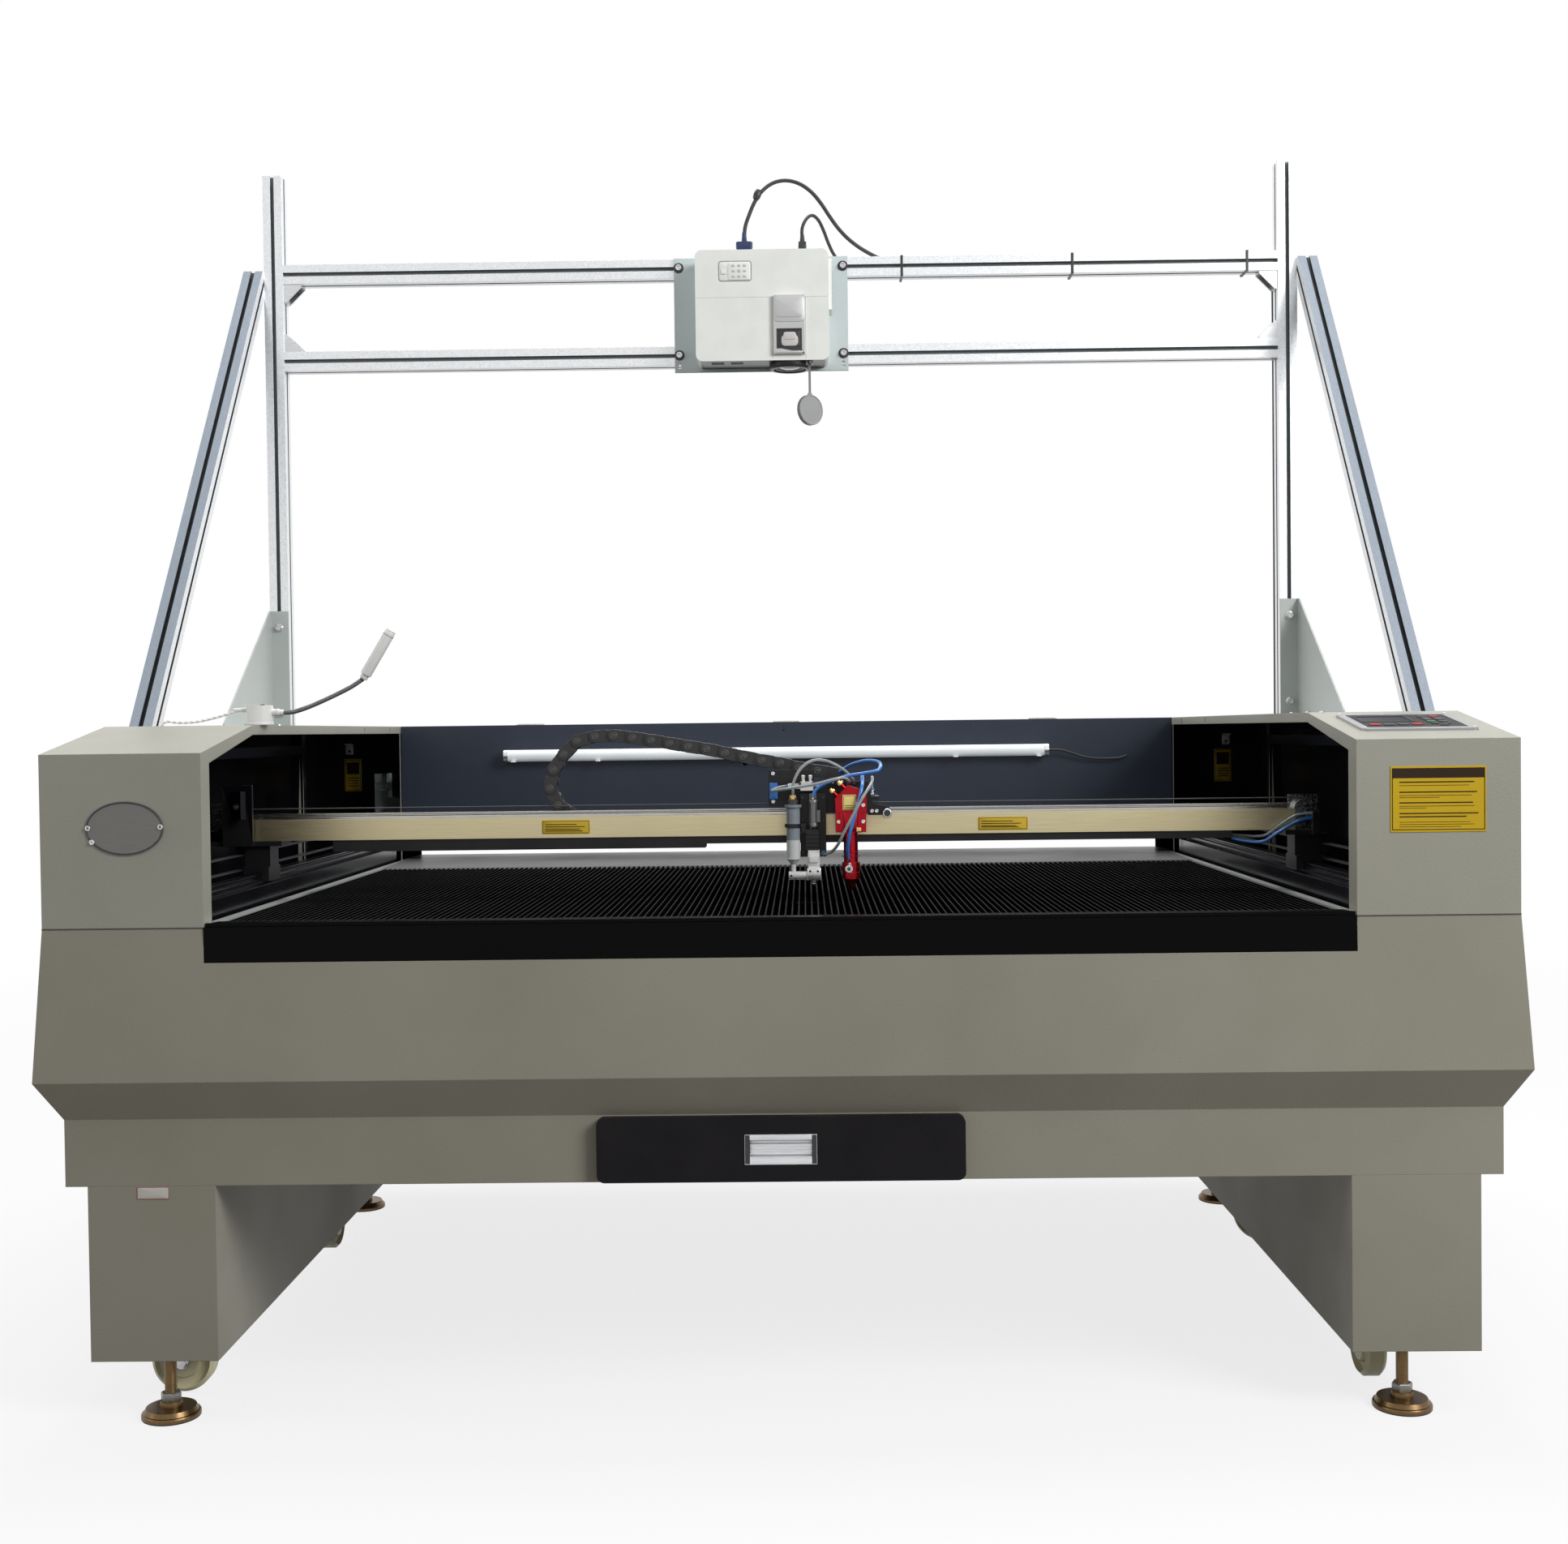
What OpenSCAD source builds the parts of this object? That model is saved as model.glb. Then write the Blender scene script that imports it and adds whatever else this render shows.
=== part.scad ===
// Carbon dioxide laser cutting machine with an overhead projector frame.
// Millimetres. X runs to the right, Y to the rear, Z up from the floor.
// The modules measure Y from the front faces of the side housings; centred() then moves each
// piece so that the origin is on the floor, under the middle of the whole machine.

/* [Body] */
// Width over the two side housings
body_w = 2232; // [2160:4:2320]
// Depth from the front faces to the rear panel
body_d = 1560; // [1520:4:1640]
// How far the widest fold stands out past the housings
waist_out = 14; // [8:1:24]
// How far the base is set in from the widest fold
base_in = 34; // [20:1:48]
// Height of the pedestals' lower edge above the floor
ped_z = 97; // [92:1:110]
// Height of a pedestal
ped_h = 270; // [250:2:300]
// Width of a pedestal
ped_w = 196; // [190:2:220]
// Height of the straight skirt over the pedestals
skirt_h = 103; // [100:1:120]
// Height of the leaning band over the skirt
band_h = 62; // [50:1:74]
// Height of the front panel from the widest fold to the seam
wall_h = 232; // [220:2:250]
// Height of a housing's front face
front_h = 265; // [250:1:280]
// Rise of the sloped top from front edge to ridge
slope_h = 43; // [30:1:56]
// Depth of the sloped top
slope_d = 269; // [240:1:300]
// Thickness of the sheet metal
sheet_t = 2; // [1.5:0.5:3]
// Width of the opening between the housings
opening_w = 1740; // [1700:4:1760]
// Drop of the fold along a housing's inner edge
lip_h = 16; // [12:1:24]
// Depth of the fold behind a housing's front face
return_d = 40; // [30:1:50]

/* [Bed] */
// Height of the bed over the seam
bed_up = 7; // [5:1:9]
// Depth of the bladed field
blade_l = 1082; // [1060:2:1090]
// Width of the border at the front
border_front = 28; // [24:1:34]
// Width of the border at the sides
border_side = 14; // [10:1:18]
// Depth of the light border behind the blades
border_rear = 100; // [80:2:120]
// Distance from blade to blade
blade_pitch = 10.3; // [9:0.1:14]
// Height of a blade
blade_h = 30; // [24:1:34]
// Height of the black bar across the front
bar_h = 53; // [44:1:56]
// Height of the slot where sheet material leaves at the rear
pass_h = 30; // [24:1:40]

/* [Tube compartment] */
// Depth of the compartment behind the bed
rear_box_d = 177; // [170:1:200]
// Diameter of the laser tube
tube_dia = 80; // [60:2:90]
// Length of the laser tube
tube_l = 1600; // [1400:10:1660]
// Diameter of the light tube
light_dia = 26; // [20:1:30]
// Length of the light tube
light_l = 1200; // [1000:10:1300]

/* [Gantry] */
// Distance of the nozzle behind the front faces
nozzle_y = 340; // [300:5:420]
// Height of the beam
beam_h = 36; // [34:1:40]
// Depth of the beam
beam_d = 50; // [48:1:60]
// Height of the beam over the bed
beam_up = 101; // [98:1:112]
// Place of the nozzle from mid width
nozzle_x = 119; // [80:1:160]
// Gap between nozzle tip and bed
nozzle_gap = 10; // [6:1:14]
// Pitch of the cable carrier's links
link_pitch = 33; // [31:1:35]
// Width of the cable carrier
link_w = 25; // [22:1:28]
// Height of a carrier link
link_h = 22; // [18:1:24]

/* [Projector frame] */
// Width of the slotted profile
profile_w = 40; // [36:1:44]
// Distance of the posts' front faces behind the front
post_y = 1120; // [1080:5:1160]
// Height of the posts over the housings
post_h = 1159; // [1100:1:1200]
// Height of the lower crossbar's underside over the housings
low_bar_up = 750; // [720:1:780]
// Gap between the two crossbars
bar_gap = 142; // [130:1:160]
// Distance of the struts' feet behind the front
strut_y = 400; // [360:5:460]
// Height of the struts over the housings
strut_h = 958; // [940:1:980]
// Height of the corner plates at the posts' feet
gusset_h = 245; // [220:1:270]
// Reach of the corner plates in front of the posts
gusset_d = 330; // [280:5:360]

/* [Projector] */
// Width of the projector
proj_w = 274; // [250:1:290]
// Height of the projector as it hangs
proj_h = 227; // [210:1:240]
// Thickness of the projector
proj_t = 85; // [75:1:100]

/* [Drawer] */
// Width of the drawer front
drawer_w = 560; // [520:2:600]
// Travel of the drawer
drawer_d = 600; // [560:5:640]

/* [Feet] */
// Diameter of a levelling foot's disc
foot_dia = 88; // [80:1:92]
// Diameter of a levelling foot's rod
rod_dia = 18; // [16:1:20]
// Diameter of a castor wheel
wheel_dia = 100; // [94:1:100]
// Width of a castor wheel
wheel_w = 34; // [30:1:36]

/* [Hidden] */
$fn = 48;

// running gap between pieces that move past each other
gap = 0.3;
// radial play of a shaft in its hole
play = 0.05;

// body
body_hw = body_w / 2;
waist_hw = body_hw + waist_out;
base_hw = waist_hw - base_in;
base_y = base_in - waist_out;
skirt_z = ped_z + ped_h;
band_z = skirt_z + skirt_h;
waist_z = band_z + band_h;
seam_z = waist_z + wall_h;
front_z = seam_z + front_h;
top_z = front_z + slope_h;
bed_z = seam_z + bed_up;
open_hw = opening_w / 2;
side_w = body_hw - open_hw;
wall_y = body_d - rear_box_d;
pan_t = 3;

// bed
border_t = 6;
bed_y0 = 2;
blade_y0 = bed_y0 + border_front;
blade_y1 = blade_y0 + blade_l;
blade_hw = open_hw - 2 - border_side;
rack_t = 8;
support_h = 40;

// y drive
rail_w = 20;
rail_h = 17;
rail_x = open_hw + 35;
rail_z = bed_z + 29;
rail_y0 = 50;
belt_x = rail_x + 33;
belt_w = 16;
belt_t = 1.6;
pulley_r = 12;
belt_z = rail_z + 35;
idler_y = 70;
shaft_y = wall_y - 43;
rail_y1 = shaft_y - 22;
shaft_dia = 12;

// gantry
beam_y = nozzle_y + 60;
beam_z = bed_z + beam_up;
beam_top = beam_z + beam_h;
beam_x0 = -open_hw - side_w * 15 / 41;
beam_x1 = open_hw + 14;
plate_h = 8;
x_rail_w = 15;
x_rail_h = 10;
x_rail_y = beam_y + 18;
x_belt_y = beam_y + beam_d - 9;
x_belt_w = 10;
x_pulley_r = 20;
x_belt_z = beam_top - 3;
x_pulley_x0 = beam_x0 - 26;
x_pulley_x1 = beam_x1 + 26;
optic_z = beam_top + 27;
tray_y = beam_y + beam_d + 5;
tray_d = link_w + 22;
tray_z = beam_z + 8;

// projector frame
post_x = body_hw - 52;
low_bar_z = top_z + low_bar_up;
high_bar_z = low_bar_z + profile_w + bar_gap;
strut_lean = atan((post_y - 8 - strut_y) / strut_h);

putty = [0.80, 0.79, 0.74];
zinc = [0.78, 0.70, 0.42];
alu = [0.82, 0.84, 0.86];
black = [0.08, 0.08, 0.09];
navy = [0.20, 0.23, 0.29];
gold = [0.80, 0.74, 0.55];
red = [0.75, 0.05, 0.08];
blue = [0.10, 0.35, 0.75];

// ---------- helpers ----------

// block between two corners
module block(a, b) translate(a) cube(b - a);

// both sides of the machine
module both() {
    children();
    mirror([1, 0, 0]) children();
}

// outline in Y and Z, drawn out along X
module along_x(x0, x1) translate([x0, 0, 0]) rotate([90, 0, 90]) linear_extrude(x1 - x0) children();

// outline in X and Z, drawn out along Y
module along_y(y0, y1) translate([0, y1, 0]) rotate([90, 0, 0]) linear_extrude(y1 - y0) children();

// round bar along each axis
module rod_x(x0, x1, y, z, r) translate([x0, y, z]) rotate([0, 90, 0]) cylinder(h = x1 - x0, r = r);
module rod_y(y0, y1, x, z, r) translate([x, y1, z]) rotate([90, 0, 0]) cylinder(h = y1 - y0, r = r);
module rod_z(z0, z1, x, y, r) translate([x, y, z0]) cylinder(h = z1 - z0, r = r);

// square tube between two corners, hollow along one axis (0, 1 or 2)
module tube(a, b, axis, t = 3) {
    inset = [for (i = [0:2]) i == axis ? -1 : t];
    difference() {
        block(a, b);
        block(a + inset, b - inset);
    }
}

// flat shape with four round corners
module round_rect(w, h, r) {
    square([w, h - 2 * r], center = true);
    square([w - 2 * r, h], center = true);
    for (x = [-1, 1], y = [-1, 1])
        translate([x * (w / 2 - r), y * (h / 2 - r)]) circle(r);
}

// ellipse as a polygon
module oval(w, h, n = 48)
    polygon([for (i = [0:n - 1]) [w / 2 * cos(i * 360 / n), h / 2 * sin(i * 360 / n)]]);

// section of the slotted aluminium profile
module slot_section(w = profile_w) {
    mouth = w * 0.2;
    pocket = w * 0.4;
    lip = w * 0.11;
    deep = w * 0.28;
    difference() {
        square(w, center = true);
        circle(r = w * 0.085);
        for (a = [0:90:270]) rotate(a) {
            translate([w / 2 - deep, -mouth / 2]) square([deep + 1, mouth]);
            translate([w / 2 - deep, -pocket / 2]) square([deep - lip, pocket]);
        }
    }
}

// swept tube of a cord: rings on the route's points
function unit(v) = v / norm(v);
function tangent(p, i) = unit(p[min(i + 1, len(p) - 1)] - p[max(i - 1, 0)]);
module cord(p, d, side = [0, 1, 0], n = 8) {
    ring = [for (i = [0:len(p) - 1])
        let (t = tangent(p, i), u = unit(cross(t, side)), v = cross(t, u))
        for (k = [0:n - 1]) p[i] + d / 2 * (cos(k * 360 / n) * u + sin(k * 360 / n) * v)];
    last = n * (len(p) - 1);
    polyhedron(ring, concat(
        [[for (k = [0:n - 1]) k]],
        [[for (k = [n - 1:-1:0]) last + k]],
        [for (i = [0:len(p) - 2], k = [0:n - 1], half = [0, 1])
            let (a = i * n + k, b = i * n + (k + 1) % n)
            half == 0 ? [a, a + n, b + n] : [a, b + n, b]]));
}

// ---------- sheet-metal body ----------

front_line = [[base_y, skirt_z], [base_y, band_z], [-waist_out, waist_z], [0, seam_z]];
side_line = [[base_hw, skirt_z], [base_hw, band_z], [waist_hw, waist_z], [body_hw, seam_z]];

// a folded strip of sheet that follows a line, its thickness laid to one side
module fold(line, t) polygon(concat(line, [for (i = [len(line) - 1:-1:0]) line[i] + [t, 0]]));

// the body's outline from the front, and its inside from the side
module front_outline() polygon(concat(side_line, [for (i = [3:-1:0]) [-side_line[i][0], side_line[i][1]]]));
module inside_outline() polygon(concat([for (p = front_line) p + [sheet_t, 0]],
    [[body_d - sheet_t, seam_z], [body_d - sheet_t, skirt_z]]));

drawer_gap_w = drawer_w - 36;
drawer_z0 = skirt_z + pan_t + 4;
drawer_z1 = band_z - 4;

module front_panel() color(putty) difference() {
    intersection() {
        along_x(-waist_hw, waist_hw) fold(front_line, sheet_t);
        along_y(-waist_out - 1, base_y + sheet_t + 1) front_outline();
    }
    block([-open_hw, -waist_out - 1, seam_z - bar_h], [open_hw, base_y, seam_z + 1]);
    block([-drawer_gap_w / 2, base_y - 1, drawer_z0], [drawer_gap_w / 2, base_y + 9, drawer_z1]);
}

module side_panels() color(putty) both() intersection() {
    along_y(-waist_out, body_d) fold(side_line, -sheet_t);
    along_x(0, waist_hw + 1) inside_outline();
}

spigot_dia = 150;
spigot_l = 60;
module rear_panel() color(putty) difference() {
    union() {
        along_y(body_d - sheet_t, body_d) front_outline();
        block([-open_hw, body_d - sheet_t, seam_z], [open_hw, body_d, top_z - 22]);
        for (x = [-1, 1]) rod_y(body_d - 1, body_d + spigot_l, x * 420, seam_z - 130, spigot_dia / 2);
    }
    block([-open_hw + 8, body_d - sheet_t - 1, bed_z], [open_hw - 8, body_d + 1, bed_z + pass_h]);
    for (x = [-1, 1]) rod_y(body_d - 3, body_d + spigot_l + 1, x * 420, seam_z - 130,
        spigot_dia / 2 - sheet_t);
}

runner_x = drawer_gap_w / 2 - 60;
module floor_pan() color(putty) {
    block([-base_hw + sheet_t, base_y + sheet_t, skirt_z],
        [base_hw - sheet_t, body_d - sheet_t, skirt_z + pan_t]);
    both() {
        block([runner_x, base_y + 20, skirt_z + pan_t], [runner_x + 20, drawer_d, skirt_z + pan_t + 6]);
        block([drawer_gap_w / 2 + 1, base_y + 20, skirt_z + pan_t],
            [drawer_gap_w / 2 + 3, drawer_d, skirt_z + pan_t + 40]);
    }
}

// pedestals, open underneath, with shelves that carry castors and feet
ped_x1 = base_hw - 34;
ped_x0 = ped_x1 - ped_w;
ped_y0 = base_y;
ped_y1 = body_d - 210;
shelf_z = wheel_dia + 38;
shelf_d = 300;
foot_x = (ped_x0 + ped_x1) / 2 - 12;
foot_y = ped_y0 + 35;
// far enough from the foot for a castor to turn right round
castor_x = foot_x - 14;
castor_y = foot_y + 102;
castor_rear_y = body_d - 560;
// the same distance from a pedestal's other end
function rear_of(y) = ped_y0 + ped_y1 - y;
module pedestals() color(putty) both() difference() {
    union() {
        difference() {
            block([ped_x0, ped_y0, ped_z], [ped_x1, ped_y1, skirt_z]);
            block([ped_x0 + sheet_t, ped_y0 + sheet_t, ped_z - 1],
                [ped_x1 - sheet_t, ped_y1 - sheet_t, skirt_z - sheet_t]);
        }
        for (y = [[ped_y0 + 1, ped_y0 + 1 + shelf_d], [castor_rear_y - 100, ped_y1 - 1]])
            block([ped_x0 + 1, y[0], shelf_z], [ped_x1 - 1, y[1], shelf_z + 6]);
    }
    for (y = [foot_y, rear_of(foot_y)])
        rod_z(shelf_z - 1, shelf_z + 7, foot_x, y, rod_dia / 2 + play);
    for (y = [castor_y, castor_rear_y])
        rod_z(shelf_z - 1, shelf_z + 7, castor_x, y, stem_dia / 2 + play);
}

module levelling_foot(x, y) {
    rod_z(0, 8, x, y, foot_dia / 2);
    translate([x, y, 8]) cylinder(h = 8, r1 = foot_dia / 2 - 2, r2 = foot_dia / 2 - 6);
    rod_z(16, 26, x, y, rod_dia * 0.9);
    rod_z(26, shelf_z + 44, x, y, rod_dia / 2);
    for (z = [shelf_z - 14, shelf_z + 6])
        translate([x, y, z]) difference() {
            cylinder(h = 14, r = rod_dia * 0.95, $fn = 6);
            translate([0, 0, -1]) cylinder(h = 16, r = rod_dia / 2 + play, $fn = 48);
        }
}
module levelling_feet() color(zinc)
    for (x = [-foot_x, foot_x], y = [foot_y, rear_of(foot_y)]) levelling_foot(x, y);

// ---------- castors ----------
axle_z = wheel_dia / 2 + 6;
trail = 25;
stem_dia = 12;
fork_t = 3;
axle_dia = 10;
cheek = wheel_w / 2 + 1;

// a fork that turns on its stem, its wheel trailing behind it
module castor_fork() {
    head_z = axle_z + wheel_dia / 2 + 6;
    foot = axle_z - 12;
    half = [[-26, head_z + 4], [26, head_z + 4], [trail + 13, axle_z], [trail + 6, foot], [trail - 6, foot],
        [trail - 13, axle_z]];
    block([-26, -cheek - fork_t, head_z], [26, cheek + fork_t, head_z + 4]);
    for (y = [-cheek - fork_t, cheek]) along_y(y, y + fork_t) polygon(half);
    rod_z(head_z + 4, shelf_z - gap, 0, 0, stem_dia * 2);
    rod_z(head_z + 4, shelf_z + 16, 0, 0, stem_dia / 2);
    translate([0, 0, shelf_z + 6 + gap]) cylinder(h = 8, r = stem_dia * 0.95, $fn = 6);
    rod_y(-cheek - fork_t - 4, cheek + fork_t + 4, trail, axle_z, axle_dia / 2);
}
module castor_wheel() translate([trail, 0, axle_z]) rotate([90, 0, 0]) difference() {
    rotate_extrude($fn = 64) polygon([[axle_dia / 2 + play, -wheel_w / 2], [wheel_dia / 4, -wheel_w / 2],
        [wheel_dia / 3.4, -wheel_w / 4], [wheel_dia / 2.5, -wheel_w / 4], [wheel_dia / 2 - 6, -wheel_w / 2],
        [wheel_dia / 2, -wheel_w / 2 + 6], [wheel_dia / 2, wheel_w / 2 - 6], [wheel_dia / 2 - 6, wheel_w / 2],
        [wheel_dia / 2.5, wheel_w / 4], [wheel_dia / 3.4, wheel_w / 4], [wheel_dia / 4, wheel_w / 2],
        [axle_dia / 2 + play, wheel_w / 2]]);
}
// place and heading of each castor at rest: side, distance from the front, heading
castor_places = [[-1, castor_y, 180], [1, castor_y, 90], [-1, castor_rear_y, -90], [1, castor_rear_y, -40]];
module castor_at(i) translate([castor_places[i][0] * castor_x, castor_places[i][1], 0])
    rotate(castor_places[i][2]) children();

// ---------- inner frame ----------
frame_t = 40;
support_z = bed_z - 1 - blade_h;
brace_z = support_z - support_h - frame_t;
upright_y = [120, body_d / 2 - 80, body_d - 260];
brace_y = [44, blade_y0 + blade_l / 2 - 20, blade_y1 - 44];
side_beam_w = 50;
side_beam_h = rail_z - brace_z;
side_beam_y1 = wall_y - 14;
hang_y = post_y + profile_w / 2;
module base_frame() {
    color(putty) {
        both() {
            for (y = upright_y)
                tube([rail_x - frame_t / 2, y, skirt_z + pan_t],
                    [rail_x + frame_t / 2, y + frame_t, rail_z - side_beam_h], 2);
            tube([rail_x - side_beam_w / 2, rail_y0 - 6, rail_z - side_beam_h],
                [rail_x + side_beam_w / 2, side_beam_y1, rail_z], 1);
            // post under each projector post, with a rail along the housing
            tube([post_x - 42, hang_y - 13, skirt_z + pan_t], [post_x - 16, hang_y + 13, top_z - sheet_t], 2);
            block([post_x - 42, 300, top_z - 60], [post_x - 36, hang_y - 13, top_z - 40]);
        }
        for (y = brace_y)
            tube([-rail_x + side_beam_w / 2, y, brace_z],
                [rail_x - side_beam_w / 2, y + frame_t, brace_z + frame_t], 0);
    }
    // guide rails of the gantry
    color(alu) both() along_y(rail_y0, rail_y1) translate([rail_x, rail_z]) guide_section(rail_w, rail_h);
}
// section of a guide rail, standing on its base
module guide_section(w, h) polygon([[-w / 2, 0], [w / 2, 0], [w / 2, h * 0.45], [w * 0.36, h * 0.6],
    [w * 0.36, h * 0.7], [w / 2, h * 0.85], [w / 2, h], [-w / 2, h], [-w / 2, h * 0.85],
    [-w * 0.36, h * 0.7], [-w * 0.36, h * 0.6], [-w / 2, h * 0.45]]);

// ---------- side housings ----------
function roof(i) = [[i, front_z - i], [slope_d, top_z - i], [body_d - i, top_z - i]];
module roof_outline(i, z0) polygon(concat(roof(i), [[body_d - i, z0], [i, z0]]));
module housing() {
    difference() {
        along_x(open_hw, body_hw) roof_outline(0, seam_z);
        along_x(open_hw + sheet_t, body_hw - sheet_t) roof_outline(sheet_t, seam_z - 1);
        // the inner side stays open inside its folds
        along_x(open_hw - 1, open_hw + sheet_t + 1)
            polygon([[return_d, seam_z - 1], [return_d, front_z - lip_h], [slope_d, top_z - lip_h],
                [wall_y, top_z - lip_h], [wall_y, seam_z - 1]]);
        along_x(open_hw - 1, open_hw + sheet_t + 1)
            polygon([[wall_y + sheet_t, seam_z - 1], [wall_y + sheet_t, top_z - lip_h],
                [body_d - sheet_t, top_z - lip_h], [body_d - sheet_t, seam_z - 1]]);
        for (y = [body_d * 0.67, body_d * 0.82])
            block([open_hw - 1, y, top_z - 13], [open_hw + sheet_t + 1, y + 6, top_z - 4]);
    }
}
module housing_left() color(putty) mirror([1, 0, 0]) housing();
module housing_right() color(putty) housing();

// ---------- control panel on the right slope ----------
panel_w = 180;
panel_d = 150;
panel_x = open_hw + 122;
slope_a = atan(slope_h / slope_d);
module on_slope(y, lift = 0) translate([0, 0, front_z]) rotate([slope_a, 0, 0]) translate([0, y, lift])
    children();
module control_panel() {
    color(alu) on_slope(150) translate([panel_x, 0, 0]) difference() {
        linear_extrude(4) round_rect(panel_w, panel_d, 8);
        translate([0, 0, 3]) linear_extrude(2) round_rect(panel_w - 24, panel_d - 24, 4);
        translate([-30, 18, 2]) linear_extrude(3) square([78, 52], center = true);
    }
    // membrane with its keys pressed into one film
    color(black) on_slope(150, 3) translate([panel_x, 0, 0]) difference() {
        union() {
            linear_extrude(0.8) round_rect(panel_w - 25, panel_d - 25, 3.6);
            for (i = [0:3], j = [0:1]) translate([36 + 19 * (i % 2), 36 - 18 * j - 30 * floor(i / 2), 0.4])
                linear_extrude(1) round_rect(14, 11, 3);
            for (i = [0:3]) translate([-60 + 22 * i, -38, 0.4]) linear_extrude(1) round_rect(17, 13, 3);
        }
        translate([-30, 18, -1]) linear_extrude(4) square([78, 52], center = true);
    }
    color([0.05, 0.10, 0.12]) on_slope(150, 2) translate([panel_x - 30, 18, 0])
        linear_extrude(1.6) square([77.6, 51.6], center = true);
}

// ---------- bed ----------
module front_bar() color(black) tube([-open_hw + gap, -2, seam_z - bar_h + gap],
    [open_hw - gap, blade_y0 - 6, bed_z - border_t], 0, 3);

module bed_border() {
    color(putty) difference() {
        block([-open_hw + 2, bed_y0, bed_z - border_t], [open_hw - 2, blade_y1 + border_rear, bed_z]);
        block([-blade_hw, blade_y0, bed_z - border_t - 1], [blade_hw, blade_y1, bed_z + 1]);
    }
    color([0.55, 0.56, 0.56])
        block([-open_hw + 2, blade_y1 + border_rear, bed_z - border_t],
            [open_hw - 2, body_d - sheet_t - gap, bed_z]);
}

// knife-shaped blades side by side over cross supports, between two end bars
blade_n = floor((2 * blade_hw - 6) / blade_pitch);
module blade_table() {
    color(black) {
        for (i = [0:blade_n - 1]) translate([(i - (blade_n - 1) / 2) * blade_pitch, 0, support_z])
            along_y(blade_y0 + 1, blade_y1 - 1)
                polygon([[-2.6, 0], [2.6, 0], [1.6, blade_h], [-1.6, blade_h]]);
        for (y = [blade_y0 - 5, blade_y1]) block([-blade_hw - 4, y, support_z - support_h],
            [blade_hw + 4, y + 5, bed_z - border_t]);
    }
    color(alu) for (y = brace_y)
        block([-blade_hw - 4, max(y, blade_y0), support_z - support_h],
            [blade_hw + 4, max(y, blade_y0) + frame_t - 10, support_z]);
}

// funnel from the bed to the drawer
hopper_y = blade_y0 + 12;
module funnel(t) hull() {
    block([-blade_hw + 12 + t, hopper_y + t, brace_z - 3], [blade_hw - 12 - t, blade_y1 - 12 - t, brace_z]);
    block([-drawer_gap_w / 2 + 40 + t, base_y + 60 + t, drawer_z1 + 14],
        [drawer_gap_w / 2 - 40 - t, drawer_d - 40 - t, drawer_z1 + 16]);
}
module scrap_hopper() color(alu) difference() {
    funnel(0);
    hull() {
        funnel(sheet_t);
        translate([0, 0, -0.5]) block([-drawer_gap_w / 2 + 42 + sheet_t, base_y + 62 + sheet_t,
            drawer_z1 + 12],
            [drawer_gap_w / 2 - 42 - sheet_t, drawer_d - 42 - sheet_t, drawer_z1 + 13]);
        block([-blade_hw + 14 + sheet_t, hopper_y + 2 + sheet_t, brace_z],
            [blade_hw - 14 - sheet_t, blade_y1 - 14 - sheet_t, brace_z + 1]);
    }
}

// ---------- drawer ----------
tray_w = drawer_gap_w - 10;
pull_w = 110;
pull_h = 46;
pull_t = 14;
module drawer_tray() color(alu) difference() {
    block([-tray_w / 2, base_y + sheet_t + gap, skirt_z + pan_t + 6 + gap],
        [tray_w / 2, drawer_d, drawer_z1 - 4]);
    block([-tray_w / 2 + 1.5, base_y + sheet_t + gap + 1.5, skirt_z + pan_t + 8],
        [tray_w / 2 - 1.5, drawer_d - 1.5, band_z]);
}
front_t = 16;
module drawer_front() {
    mid_z = (skirt_z + 2 + band_z - 2) / 2;
    color(black) difference() {
        translate([0, 0, mid_z]) along_y(base_y - front_t, base_y - gap)
            round_rect(drawer_w, skirt_h - 4, 12);
        block([-pull_w / 2, base_y - front_t - 1, mid_z - pull_h / 2],
            [pull_w / 2, base_y + 1, mid_z + pull_h / 2]);
    }
    // neck that joins the front to the tray
    color(black) both() block([tray_w / 2 - 60, base_y - gap, mid_z - 20],
        [tray_w / 2 - 20, base_y + sheet_t + gap, mid_z + 20]);
    color(alu) translate([0, 0, mid_z]) difference() {
        along_y(base_y - front_t - 1, base_y - front_t + pull_t)
            square([pull_w - gap, pull_h - gap], center = true);
        along_y(base_y - front_t - 2, base_y - front_t + pull_t - 2)
            square([pull_w - 16, pull_h - 10], center = true);
    }
    color(alu) for (i = [0:3]) block([-pull_w / 2 + 8, base_y - front_t + pull_t - 4, mid_z - 16 + i * 9],
        [pull_w / 2 - 8, base_y - front_t + pull_t - 2, mid_z - 12 + i * 9]);
}

// ---------- tube compartment ----------
shelf_rear_z = bed_z + pass_h;
tube_y = (wall_y + body_d) / 2;
tube_clear = 0.2;
module back_wall() color(navy) difference() {
    union() {
        block([-open_hw + 2, wall_y, shelf_rear_z], [open_hw - 2, wall_y + sheet_t, top_z]);
        block([-open_hw + 2, wall_y, shelf_rear_z],
            [open_hw - 2, body_d - sheet_t - gap, shelf_rear_z + sheet_t]);
    }
    block([-6, wall_y - 1, top_z - 20], [-2, wall_y + 3, top_z - 10]);
    rod_y(wall_y - 1, wall_y + 3, -92, light_z - 22, 6);
}

light_z = shelf_rear_z + 202;
light_x = -22;
light_y = wall_y - light_dia / 2 - 8;
module light_tube() {
    color("white") rod_x(light_x - light_l / 2, light_x + light_l / 2, light_y, light_z, light_dia / 2);
    color(alu) for (s = [-1, 1]) translate([light_x + s * (light_l / 2 + 5), light_y, light_z])
        rotate([0, 90, 0]) cylinder(h = 10, r = light_dia / 2 + 1, center = true);
    color(alu) for (s = [-1, 0, 1])
        block([light_x + s * (light_l / 2 - 40) - 6, wall_y - 8, light_z - 9],
            [light_x + s * (light_l / 2 - 40) + 6, wall_y, light_z + 9]);
}

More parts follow.
